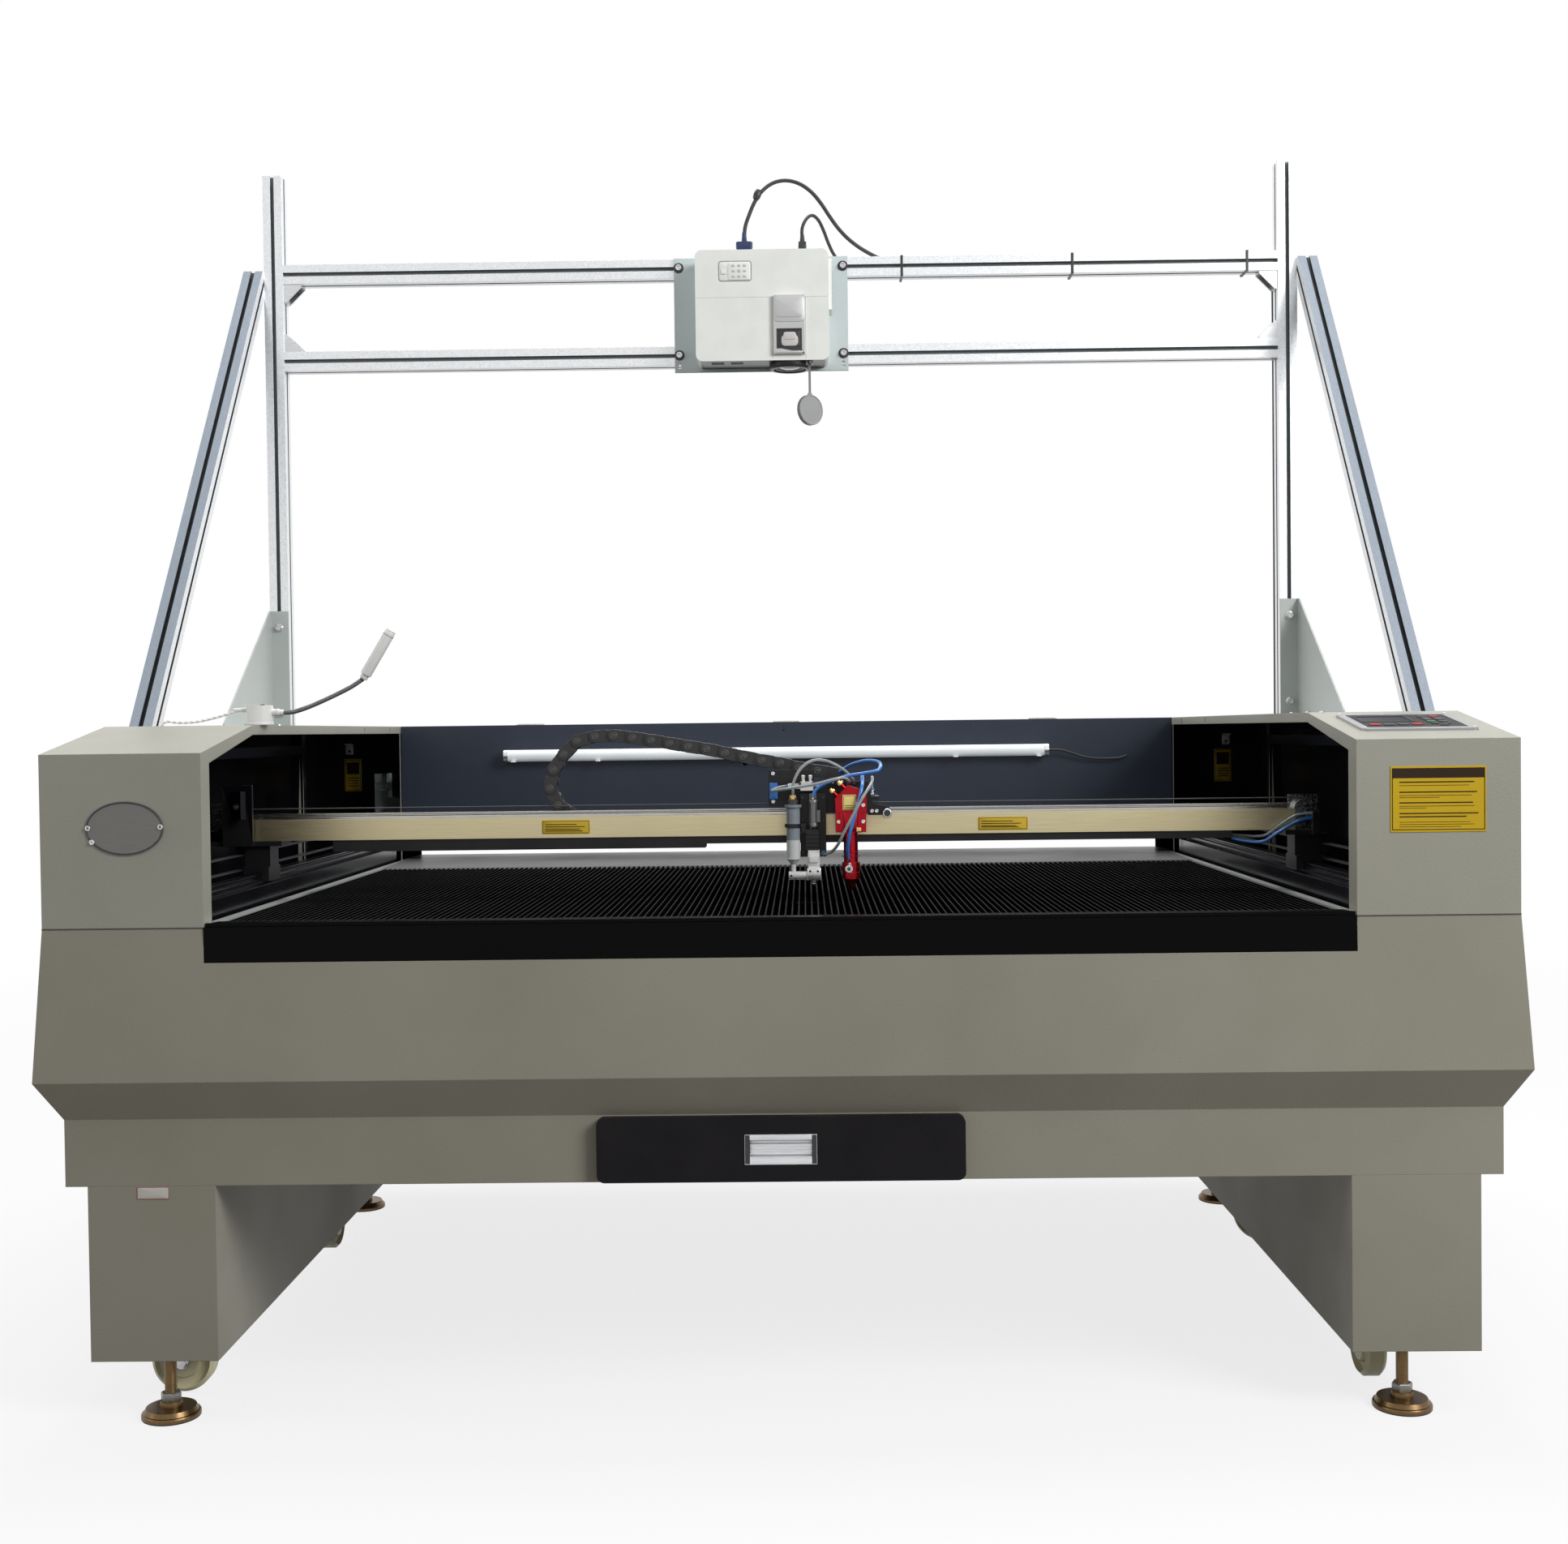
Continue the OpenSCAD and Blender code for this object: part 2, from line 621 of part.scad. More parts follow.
module laser_tube() {
    color([0.75, 0.85, 0.9]) {
        rod_x(-tube_l / 2, tube_l / 2, tube_y, optic_z, tube_dia / 2);
        rod_x(-tube_l / 2 - 30, -tube_l / 2, tube_y, optic_z, tube_dia / 4);
        rod_x(tube_l / 2, tube_l / 2 + 24, tube_y, optic_z, tube_dia / 4);
    }
    color(alu) for (x = [-0.32, 0.32] * tube_l) difference() {
        block([x - 12, tube_y - tube_dia / 2 - 12, shelf_rear_z + sheet_t],
            [x + 12, tube_y + tube_dia / 2 + 12, optic_z + tube_dia / 2 + 12]);
        rod_x(x - 13, x + 13, tube_y, optic_z, tube_dia / 2 + tube_clear);
    }
    // first mirror, at the tube's left end
    mount_x = -rail_x - 25;
    color(black) difference() {
        block([mount_x - 14, tube_y - 26, top_z - 12 - 150], [mount_x + 14, tube_y + 26, optic_z + 30]);
        rod_x(mount_x - 15, mount_x + 15, tube_y, optic_z, 10);
    }
    color(black) block([mount_x - 14, tube_y - 26, shelf_rear_z + sheet_t],
        [-open_hw + 12, tube_y + 26, top_z - 162]);
}

// lid over the compartment, on three hinges at the rear
hinge_y = body_d + 6;
hinge_z = top_z - 1;
hinge_r = 5;
hinge_pin_r = 2.5;
hinge_x = [-600, 0, 600];
lid_gap = 3;
module rear_lid() color(putty) {
    difference() {
        union() {
            block([-open_hw + lid_gap, wall_y + sheet_t + lid_gap, top_z - sheet_t],
                [open_hw - lid_gap, body_d - 1, top_z]);
            block([-open_hw + lid_gap, wall_y + sheet_t + lid_gap, top_z - 18],
                [open_hw - lid_gap, wall_y + 2 * sheet_t + lid_gap, top_z]);
            for (x = hinge_x) {
                block([x - 30, body_d - 30, top_z - 0.1], [x + 30, hinge_y, top_z + 2]);
                rod_x(x - 30, x + 30, hinge_y, hinge_z, hinge_r);
            }
        }
        for (x = hinge_x) {
            block([x - 10 - gap, body_d - 0.9, hinge_z - 8],
                [x + 10 + gap, hinge_y + 8, hinge_z + hinge_r + 1]);
            rod_x(x - 31, x + 31, hinge_y, hinge_z, hinge_pin_r + play);
        }
    }
}
module hinge_leaves() color(putty) for (x = hinge_x) {
    block([x - 30, body_d, top_z - 60], [x + 30, body_d + 2, hinge_z - hinge_r - 1]);
    block([x - 10, body_d, top_z - 60], [x + 10, body_d + 4, hinge_z]);
    rod_x(x - 10, x + 10, hinge_y, hinge_z, hinge_r);
    rod_x(x - 32, x + 32, hinge_y, hinge_z, hinge_pin_r);
}

// power supply and controller on the floor pan, at the right
module electronics() color(alu) {
    block([ped_x0 + 20, body_d * 0.31, skirt_z + pan_t], [ped_x1 - 60, body_d * 0.435, skirt_z + pan_t + 90]);
    block([ped_x0 + 20, body_d * 0.565, skirt_z + pan_t],
        [ped_x1 - 60, body_d * 0.705, skirt_z + pan_t + 60]);
}

// ---------- y drive ----------
module belt_loop(y0, y1, z, r, t) difference() {
    hull_line(y0, y1, z, r + t);
    hull_line(y0, y1, z, r);
}
// stadium outline in two coordinates
module hull_line(a, b, z, r) {
    translate([a, z]) circle(r);
    translate([b, z]) circle(r);
    translate([a, z - r]) square([b - a, 2 * r]);
}
module y_belts() {
    color(black) both() along_x(belt_x - belt_w / 2, belt_x + belt_w / 2)
        belt_loop(idler_y, shaft_y, belt_z, pulley_r, belt_t);
    // idler brackets and the bearings of the drive shaft
    color(alu) both() {
        difference() {
            block([belt_x + belt_w / 2 + 2, idler_y - 14, rail_z - 20],
                [belt_x + belt_w / 2 + 8, idler_y + 14, belt_z + 16]);
            rod_x(belt_x, belt_x + 40, idler_y, belt_z, 4);
        }
        block([rail_x + side_beam_w / 2, idler_y - 14, rail_z - 20],
            [belt_x + belt_w / 2 + 8, idler_y + 14, rail_z - 16]);
        difference() {
            rod_x(belt_x - belt_w / 2, belt_x + belt_w / 2 + 8, idler_y, belt_z, pulley_r - 0.2);
            rod_x(belt_x - belt_w, belt_x + 40, idler_y, belt_z, 4);
        }
        rod_x(belt_x - belt_w / 2, belt_x + belt_w / 2 + 8, idler_y, belt_z, 4);
        difference() {
            block([rail_x - 12, shaft_y - 18, rail_z], [rail_x + 12, shaft_y + 18, belt_z + 16]);
            rod_x(rail_x - 13, rail_x + 13, shaft_y, belt_z, shaft_dia / 2 + play);
        }
    }
}
module y_drive_shaft() {
    color(alu) rod_x(-belt_x - 20, belt_x + 20, shaft_y, belt_z, shaft_dia / 2);
    color(alu) both() difference() {
        union() {
            rod_x(belt_x - belt_w / 2 - 2, belt_x + belt_w / 2 + 2, shaft_y, belt_z, pulley_r - 0.2);
            for (x = [belt_x - belt_w / 2 - 2, belt_x + belt_w / 2 + 0.5])
                rod_x(x, x + 1.5, shaft_y, belt_z, pulley_r + 4);
        }
        rod_x(belt_x - 20, belt_x + 20, shaft_y, belt_z, shaft_dia / 2);
    }
}

// ---------- gantry ----------
beam_wall = 3;
module gantry_beam() {
    color(gold) tube([beam_x0, beam_y, beam_z], [beam_x1, beam_y + beam_d, beam_top], 0, beam_wall);
    color(alu) along_x(beam_x0 + 30, beam_x1 - 10) translate([x_rail_y, beam_top])
        guide_section(x_rail_w, x_rail_h);
}

// idler of the x belt at the right end
module x_idler() color(alu) {
    rod_y(x_belt_y - x_belt_w / 2 - 2, x_belt_y + x_belt_w / 2 + 1, x_pulley_x1, x_belt_z, x_pulley_r - 0.2);
    rod_y(x_belt_y - x_belt_w / 2 - 2, x_belt_y + x_belt_w / 2 + 8, x_pulley_x1, x_belt_z, 5);
}

// end plates on sliders, mirror mount at the left end, motor and pulley brackets
slider_l = 70;
slider_w = 44;
slider_h = 24;
slider_up = 4;
plate_z = beam_z - plate_h;
module slider(x, y, z, l, w, h, rw, rh, along_y = true) {
    translate([x, y, z]) rotate(along_y ? 0 : 90) difference() {
        translate([-w / 2, -l / 2, slider_up]) cube([w, l, h]);
        translate([0, l / 2 + 1, 0]) rotate([90, 0, 0]) linear_extrude(l + 2) offset_guide(rw, rh);
    }
}
// guide section with a running gap all round
module offset_guide(w, h) polygon([[-w / 2 - gap, -1], [w / 2 + gap, -1], [w / 2 + gap, h * 0.45 + gap],
    [w * 0.36 + gap, h * 0.6 + gap], [w * 0.36 + gap, h * 0.7 - gap], [w / 2 + gap, h * 0.85 - gap],
    [w / 2 + gap, h + gap], [-w / 2 - gap, h + gap], [-w / 2 - gap, h * 0.85 - gap],
        [-w * 0.36 - gap, h * 0.7 - gap],
    [-w * 0.36 - gap, h * 0.6 + gap], [-w / 2 - gap, h * 0.45 + gap]]);
motor_w = 56;
mirror_x = -rail_x - 25;
module gantry_mounts() {
    color(black) {
        for (s = [-1, 1]) {
            x = s * rail_x;
            slider(x, beam_y + beam_d / 2, rail_z, slider_l, slider_w, slider_h, rail_w, rail_h);
            block([x - slider_w / 2, beam_y, rail_z + slider_up + slider_h],
                [x + slider_w / 2, beam_y + beam_d, plate_z]);
        }
        block([mirror_x - 53, beam_y - 10, plate_z], [-rail_x + 45, beam_y + beam_d, beam_z]);
        block([rail_x - 40, beam_y - 10, plate_z], [rail_x + 20, beam_y + beam_d, beam_z]);
        // belt clamps
        for (s = [-1, 1]) {
            x = s * belt_x;
            block([min(x - 8, s * rail_x), beam_y + 10, belt_z + pulley_r + belt_t + gap],
                [max(x + 8, s * rail_x), beam_y + 40, plate_z]);
        }
        // upright of the second mirror
        difference() {
            block([mirror_x - 30, beam_y - 16, plate_z], [mirror_x + 22, beam_y - 10, optic_z + 34]);
            rod_y(beam_y - 17, beam_y - 9, mirror_x, optic_z, 11);
        }
        // pulley bracket plates at the beam's ends
        for (x = [x_pulley_x0, x_pulley_x1]) difference() {
            block([x - 26, x_belt_y + x_belt_w / 2 + 2, plate_z],
                [x + 26, x_belt_y + x_belt_w / 2 + 6, x_belt_z + 26]);
            rod_y(x_belt_y, x_belt_y + 20, x, x_belt_z, 5 + play);
        }
        block([rail_x + 4, beam_y - 20, plate_z], [rail_x + 16, beam_y - 10, beam_z + 32]);
    }
    color(alu) translate([mirror_x, beam_y - 27, optic_z]) rotate([0, 0, 45]) difference() {
        block([-3, -16, -24], [7, 16, 24]);
        rod_x(-4, 8, 0, 0, 10);
    }
    color(black) block([x_pulley_x0 - motor_w / 2, x_belt_y + x_belt_w / 2 + 6, x_belt_z - motor_w / 2],
        [x_pulley_x0 + motor_w / 2, x_belt_y + x_belt_w / 2 + 6 + motor_w, x_belt_z + motor_w / 2]);
    x_idler();
}

module x_belt() color(black) along_y(x_belt_y - x_belt_w / 2, x_belt_y + x_belt_w / 2)
    belt_loop(x_pulley_x0, x_pulley_x1, x_belt_z, x_pulley_r, belt_t);

// driven pulley of the x belt at the left end
module x_pulley() color(alu) {
    rod_y(x_belt_y - x_belt_w / 2 - 2, x_belt_y + x_belt_w / 2 + 1, x_pulley_x0, x_belt_z, x_pulley_r - 0.2);
    rod_y(x_belt_y - x_belt_w / 2 - 2, x_belt_y + x_belt_w / 2 + 5.8, x_pulley_x0, x_belt_z, 5);
}

// tray under the beam and the tray behind it that holds the cable carrier
module beam_trays() color(black) {
    tube([-open_hw + 95, beam_y + 4, beam_z - 20], [740 - open_hw, beam_y + beam_d - 4, beam_z], 0, 1.5);
    tube([740 - open_hw, beam_y + 4, beam_z - 13], [open_hw - 93, beam_y + beam_d - 4, beam_z], 0, 1.5);
    block([310 - open_hw, beam_y + beam_d, tray_z - 3], [open_hw - 450, tray_y + tray_d, tray_z]);
    block([310 - open_hw, tray_y + tray_d - 2, tray_z], [open_hw - 450, tray_y + tray_d, tray_z + 14]);
}

// ---------- cable carrier ----------
// heading of each link, from the fixed end on the tray round to the carriage
chain_turns = concat([for (i = [0:11]) 180], [154, 142, 115, 78, 56, 44, 13, 2, -7, -9, -10, -10, -9,
    -12, -12, -12, -10, -14, -10, -10]);
chain_x0 = nozzle_x - 60;
chain_y = tray_y + tray_d / 2 - 1;
chain_z = tray_z + link_h / 2 + gap;
function chain_sum(i) = i == 0 ? [0, 0] : chain_sum(i - 1) + link_pitch * [cos(chain_turns[i - 1]),
    sin(chain_turns[i - 1])];
// one link: an outer fork at its start, an inner fork at its end, two bridges between
module link() {
    r = link_h / 2;
    side = 2;
    lap = link_pitch / 2;
    for (s = [-1, 1]) {
        w = s * link_w / 2;
        v = s * (link_w / 2 - side - gap / 2);
        along_y(min(w, w - s * side), max(w, w - s * side)) difference() {
            union() {
                circle(r, $fn = 24);
                translate([0, -r]) square([lap + 3, link_h]);
            }
            circle(r * 0.4, $fn = 16);
        }
        along_y(min(v, v - s * side), max(v, v - s * side)) translate([link_pitch, 0]) {
            circle(r - gap, $fn = 24);
            translate([-lap + gap, -r + gap]) square([lap - gap, link_h - 2 * gap]);
        }
    }
    for (z = [-r, r - side]) block([lap - 4 + gap, -link_w / 2 + side - 0.5, z],
        [lap + 3, link_w / 2 - side + 0.5, z + side]);
}
module cable_carrier() color(black) for (i = [0:len(chain_turns) - 1])
    translate([chain_x0 + chain_sum(i)[0], chain_y, chain_z + chain_sum(i)[1]])
        rotate([0, -chain_turns[i], 0]) link();

// hose from the tray under the beam to the right end plate
gantry_hose_route = [[777, 412, 858], [800, 404, 853], [826, 390, 853], [850, 385, 868], [880, 385, 885],
    [898, 385, 891], [909 - 2 * gap, 385, 892]];
second_hose_route = [[777 + 2 * gap, 424, 864.5], [800, 416, 862], [830, 397, 863], [856, 388, 882],
    [878, 384.5, 896], [896, 385, 900], [909 - 2 * gap, 385, 900.5]];
module gantry_hose() color(blue) {
    cord(gantry_hose_route, 6);
    cord(second_hose_route, 5);
}

// ---------- carriage ----------
plate_y = beam_y - 12;
carriage_z = beam_top + 24;
carriage_x0 = nozzle_x - 139;
carriage_x1 = nozzle_x + 71;
chain_end = [chain_x0, chain_z] + chain_sum(len(chain_turns));
module carriage_plate() {
    color(black) {
        slider(nozzle_x - 40, x_rail_y, beam_top, 80, 30, 20, x_rail_w, x_rail_h, false);
        block([carriage_x0, plate_y, carriage_z], [carriage_x1 - 20, x_belt_y + 12, carriage_z + 6]);
        block([nozzle_x - 70, x_belt_y - x_belt_w / 2, x_belt_z + x_pulley_r + belt_t + gap],
            [nozzle_x - 20, x_belt_y + x_belt_w / 2, carriage_z]);
        difference() {
            along_y(plate_y, plate_y + 6) polygon([[carriage_x0, carriage_z - 10],
                [nozzle_x - 60, carriage_z - 10],
                [nozzle_x - 60, beam_top + 2], [nozzle_x + 31, beam_top + 2], [nozzle_x + 31, beam_top - 2],
                [nozzle_x + 68, beam_top - 2], [nozzle_x + 68, beam_top + 12], [nozzle_x + 40, beam_top + 18],
                [nozzle_x + 31, beam_top + 56], [nozzle_x - 60, beam_top + 56],
                    [nozzle_x - 60, beam_top + 77],
                [carriage_x0, beam_top + 77]]);
            for (z = [beam_top + 22, beam_top + 70]) rod_y(plate_y - 1, plate_y + 7, carriage_x0 + 8, z, 2.2);
            for (x = [nozzle_x + 38, nozzle_x + 46]) rod_y(plate_y - 1, plate_y + 7, x, beam_top + 4, 2.2);
        }
        // arm that carries the moving end of the cable carrier
        block([chain_end[0] + link_h / 2 + 1, x_belt_y + 11, carriage_z],
            [chain_end[0] + link_h / 2 + 13, chain_y + link_w / 2, carriage_z + 6]);
        block([chain_end[0] + link_h / 2 + 1, chain_y - link_w / 2, carriage_z],
            [chain_end[0] + link_h / 2 + 4, chain_y + link_w / 2, chain_end[1] + link_h / 2]);
        // block that carries the laser head
        block([nozzle_x - 18, nozzle_y + 32, beam_top + 4], [nozzle_x + 20, plate_y, beam_top + 46]);
    }
    // valve block with its fittings
    color(alu) {
        block([nozzle_x - 84, plate_y - 30, beam_top + 42], [nozzle_x - 62, plate_y, beam_top + 57]);
        block([nozzle_x - 104, plate_y - 24, beam_top + 45], [nozzle_x - 84, plate_y - 10, beam_top + 54]);
        rod_x(nozzle_x - 62, nozzle_x - 48, plate_y - 18, beam_top + 50, 4.5);
        for (x = [-79, -67]) rod_z(beam_top + 57, beam_top + 63, nozzle_x + x, plate_y - 18, 3);
    }
    // fittings of two hoses on the top plate
    color(alu) for (x = [24, 39]) rod_z(carriage_z + 6, carriage_z + 18, nozzle_x + x, 404, 4.5);
    color([0.75, 0.6, 0.3]) translate([nozzle_x + 64, plate_y, beam_top + 1]) rotate([90, 0, 0])
        cylinder(h = 5, r = 5.5);
}

// laser head: block with its mirror, bored for the lens tube
nozzle_z = bed_z + nozzle_gap;
lens_r = 12;
head_z = nozzle_z + 99;
module head_block() {
    color(red) difference() {
        along_y(nozzle_y - 22, nozzle_y + 32) polygon([[nozzle_x - 25, head_z], [nozzle_x + 26, head_z],
            [nozzle_x + 27, head_z + 60], [nozzle_x + 18, head_z + 72], [nozzle_x - 4, head_z + 79],
            [nozzle_x - 26, head_z + 57]]);
        rod_z(head_z - 1, head_z + 65, nozzle_x, nozzle_y, lens_r + play);
        rod_x(nozzle_x - 30, nozzle_x, nozzle_y, optic_z, 8);
        // relief beside the tube
        for (x = [nozzle_x - 27, nozzle_x + 18]) block([x, nozzle_y - 23, head_z - 1],
            [x + 9, nozzle_y - 12, head_z + 34]);
    }
    // mirror adjusting screws
    color([0.75, 0.6, 0.3]) for (d = [0, 13]) translate([nozzle_x - 22 + d, nozzle_y - 8, head_z + 61 + d])
        rotate([0, -45, 0]) cylinder(h = 14, r = 3);
    color("gold") block([nozzle_x - 13, nozzle_y - 23, head_z + 38],
        [nozzle_x + 9, nozzle_y - 22, head_z + 62]);
    color(alu) for (p = [[-20, 18], [21, 18], [21, 46]])
        translate([nozzle_x + p[0], nozzle_y - 22 + (p[1] < 34 ? 10 : 0), head_z + p[1]]) rotate([90, 0, 0])
            cylinder(h = 3, r = 3);
}
module lens_tube() {
    color(red) difference() {
        union() {
            rod_z(nozzle_z + 20, head_z + 35, nozzle_x, nozzle_y, lens_r);
            rod_z(nozzle_z + 20, nozzle_z + 48, nozzle_x, nozzle_y, lens_r + 3);
            translate([nozzle_x, nozzle_y, nozzle_z]) cylinder(h = 20, r1 = 3, r2 = lens_r);
        }
        rod_z(nozzle_z + 24, head_z + 36, nozzle_x, nozzle_y, lens_r - 2.5);
        rod_z(nozzle_z - 1, nozzle_z + 25, nozzle_x, nozzle_y, 1.2);
    }
    // clamp screw and the air inlet
    color(alu) rod_y(nozzle_y - lens_r - 13, nozzle_y - lens_r - 2.5, nozzle_x - 4, nozzle_z + 28, 5.5);
    color(alu) rod_z(nozzle_z + 48, nozzle_z + 54, nozzle_x - 5, nozzle_y - lens_r - 5 + 2, 2);
}

// pneumatic slide that carries the marking dispenser
disp_x = nozzle_x - 63;
disp_z = nozzle_z + 8;
slide_y = nozzle_y + 18;
module dispenser_slide() {
    color(black) block([disp_x - 22, slide_y + 8, disp_z + 48], [disp_x + 22, plate_y, disp_z + 156]);
    color(black) translate([disp_x, 0, disp_z + 48]) linear_extrude(108) translate([0, slide_y + 8])
        mirror([0, 1]) guide_section(12, 8);
    // air cylinder over the valve, and the bracket that holds it
    color(alu) difference() {
        union() {
            rod_z(disp_z + 100, disp_z + 146, disp_x, nozzle_y + 8, 7);
            block([disp_x + 5, nozzle_y + 5, disp_z + 108], [disp_x + 12, slide_y + 8, disp_z + 128]);
        }
        rod_z(disp_z + 99, disp_z + 125, disp_x, nozzle_y + 8, 2 + play);
    }
    // fitting of the hose that comes to the slide
    color(blue) rod_y(slide_y + 3, slide_y + 8, disp_x + 17, 843, 4.5);
}
syr_x = nozzle_x - 97;
syr_r = 11.5;
arm_z = disp_z + 12;
disp_drop = 12;
module dispenser() {
    color(black) difference() {
        block([disp_x - 13, nozzle_y - 8, disp_z + 61], [disp_x + 9, slide_y + 7, disp_z + 96]);
        translate([disp_x, 0, disp_z + 60]) linear_extrude(40) translate([0, slide_y + 8]) mirror([0, 1])
            offset_guide(12, 8);
    }
    color(black) {
        rod_z(disp_z + 90, disp_z + 118, disp_x, nozzle_y + 8, 2);
        // clamp arm round the syringe
        block([disp_x - 20, nozzle_y - 4, disp_z + 90], [disp_x - 13, slide_y + 4, disp_z + 106]);
        difference() {
            union() {
                rod_z(disp_z + 100, disp_z + 106, syr_x, nozzle_y, syr_r + 3);
                block([syr_x, nozzle_y - 5, disp_z + 100], [disp_x - 13, nozzle_y + 5, disp_z + 106]);
            }
            rod_z(disp_z + 99, disp_z + 107, syr_x, nozzle_y, syr_r + gap);
        }
    }
    // valve body, its foot block, and the nozzle
    color("white") block([disp_x - 9, nozzle_y - 9, disp_z + 30], [disp_x + 10, nozzle_y + 9, disp_z + 61]);
    color(alu) {
        block([disp_x - 11, nozzle_y - 11, disp_z + 11], [disp_x + 12, nozzle_y + 11, disp_z + 30]);
        rod_z(disp_z + 4, disp_z + 11, disp_x, nozzle_y, 4.5);
        translate([disp_x, nozzle_y, disp_z]) cylinder(h = 4, r1 = 1.5, r2 = 3.5);
        block([syr_x - 8, nozzle_y - 7, arm_z], [disp_x - 11, nozzle_y + 7, arm_z + 13]);
    }
}
module syringe() {
    z0 = arm_z + 13;
    color([0.85, 0.88, 0.9]) difference() {
        union() {
            rod_z(z0, z0 + 12, syr_x, nozzle_y, 4);
            translate([syr_x, nozzle_y, z0 + 12]) cylinder(h = 9, r1 = 4, r2 = syr_r);
            rod_z(z0 + 21, z0 + 111, syr_x, nozzle_y, syr_r);
            rod_z(z0 + 109, z0 + 113, syr_x, nozzle_y, syr_r + 3);
        }
        rod_z(z0 + 22, z0 + 114, syr_x, nozzle_y, syr_r - 1.2);
    }
    color("white") rod_z(z0 + 22.2, z0 + 50, syr_x, nozzle_y, syr_r - 1.4);
    color(black) rod_z(z0 + 113, z0 + 121, syr_x, nozzle_y, 9);
    color([0.75, 0.6, 0.3]) rod_z(z0 + 121, z0 + 129, syr_x, nozzle_y, 5);
}

// hoses of the head: routes as lists of points
blue_hose_route = [[104, 455, 979], [124, 430, 992], [150, 400, 999], [170, 372, 996], [168, 350, 984],
    [146, 350, 979], [118, 352, 975], [94, 352, 968], [72, 349, 960], [60, 348, 950], [56, 348, 942],
    [disp_x, nozzle_y + 8, disp_z + 146 + gap]];
air_hose_route = [[143, 404, carriage_z + 18 + 2 * gap], [143, 404, 957], [142.5, 396, 969.5],
    [141, 380, 973], [140, 358, 972], [139.5, 336, 967], [139, 318, 961], [136, 309, 948], [131, 306, 929],
    [124, 304, 905], [117, 305, 880], [113, 311, 855], [114, 324.5, 835.5]];
clear_hose_route = [[22, 340, 943.5], [24, 340, 966], [36, 344, 988], [56, 350, 1001], [80, 356, 1000],
    [104, 362, 988], [119, 371, 975], [126, 378, 966], [127, plate_y - 4 * gap, 961]];
// hose that loops out to the left in front of the valve block, and the long one to the slide
side_hose_route = [[nozzle_x - 104 - 2 * gap, 371, 957.5], [4, 371, 957], [-7, 364, 954], [-13, 352, 952],
    [-10, 336, 951], [2, 326, 953], [28, 322, 957], [60, 321, 962], [90, 322, 969], [107, 330, 972],
    [116, 346, 967], [118, 368, 962], [116, plate_y - 4 * gap, 958]];
slide_hose_route = [[158, 404, carriage_z + 18 + 2 * gap], [158, 404, 957], [157.5, 396, 967],
    [157, 380, 971], [157, 355, 971], [156, 332, 966], [150, 312, 956], [139, 298, 940], [124, 291, 914],
    [108, 291, 884], [97, 298, 862], [87, 315, 849], [78, 334, 844], [disp_x + 17, 348, 843],
    [disp_x + 17, slide_y + 3 - 2 * gap, 843]];
module blue_hose() color(blue) cord(blue_hose_route, 6, [0.1, 0.3, 1]);
module air_hose() color(blue) cord(air_hose_route, 6, [1, 0.1, 0.1]);
module clear_hose() color([0.8, 0.85, 0.85]) {
    cord(clear_hose_route, 5);
    cord(side_hose_route, 5, [0.1, 0.2, 1]);
    cord(slide_hose_route, 5, [1, 0.1, 0.1]);
}

// ---------- projector frame ----------
module strut() intersection() {
    along_x(0, body_hw + 200) polygon([[-2000, top_z], [4000, top_z], [4000, top_z + strut_h],
        [-2000, top_z + strut_h]]);
    translate([post_x + profile_w, strut_y + profile_w / 2 / cos(strut_lean), top_z])
        rotate([-strut_lean, 0, 0]) translate([0, 0, -200]) linear_extrude(strut_h / cos(strut_lean) + 400)
            slot_section();
}
module projector_frame() color(alu) {
    both() {
        translate([post_x, post_y + profile_w / 2, top_z]) linear_extrude(post_h) slot_section();
        strut();
    }
    for (z = [low_bar_z, high_bar_z])
        translate([0, post_y + profile_w / 2, z + profile_w / 2]) rotate([90, 0, 90])
            linear_extrude(2 * post_x - profile_w, center = true) slot_section();
}

// bent corner plates at the posts' feet and cast brackets between posts and crossbars
bracket = 38;
module corner_bracket() difference() {
    along_y(post_y + 3, post_y + profile_w - 3) polygon([[0, 0], [bracket, 0], [bracket, 5], [5, bracket],
        [0, bracket]]);
    along_y(post_y + 7, post_y + profile_w - 7) polygon([[4, 4], [bracket + 1, 4], [bracket + 1, 9],
        [9, bracket + 1], [4, bracket + 1]]);
    for (a = [0, 1]) translate([a ? bracket / 2 + 5 : 0, post_y + profile_w / 2, a ? 0 : bracket / 2 + 5])
        rotate(a ? [0, 0, 0] : [0, 90, 0]) cylinder(h = 12, r = 4, center = true);
}
module frame_brackets() {
    color(alu) both() {
        translate([-post_x + profile_w / 2, 0, low_bar_z + profile_w]) corner_bracket();
        translate([-post_x + profile_w / 2, 0, high_bar_z]) mirror([0, 0, 1]) corner_bracket();
    }
    color(putty) both() difference() {
        union() {
            block([post_x - profile_w / 2, post_y - 3, top_z],
                [post_x + profile_w / 2, post_y, top_z + gusset_h]);
            along_x(post_x + profile_w / 2 - 3, post_x + profile_w / 2)
                polygon([[post_y - gusset_d, top_z], [post_y - 1, top_z], [post_y - 1, top_z + gusset_h],
                    [post_y - 8, top_z + gusset_h],
                    [post_y - gusset_d, top_z + 6]]);
            block([post_x - profile_w / 2 + 4, post_y - gusset_d, top_z],
                [post_x + profile_w / 2 - 2, post_y - 3, top_z + 3]);
        }
        for (z = [30, 210]) rod_y(post_y - 4, post_y + 1, post_x, top_z + z / 245 * gusset_h, 4.2);
    }
}

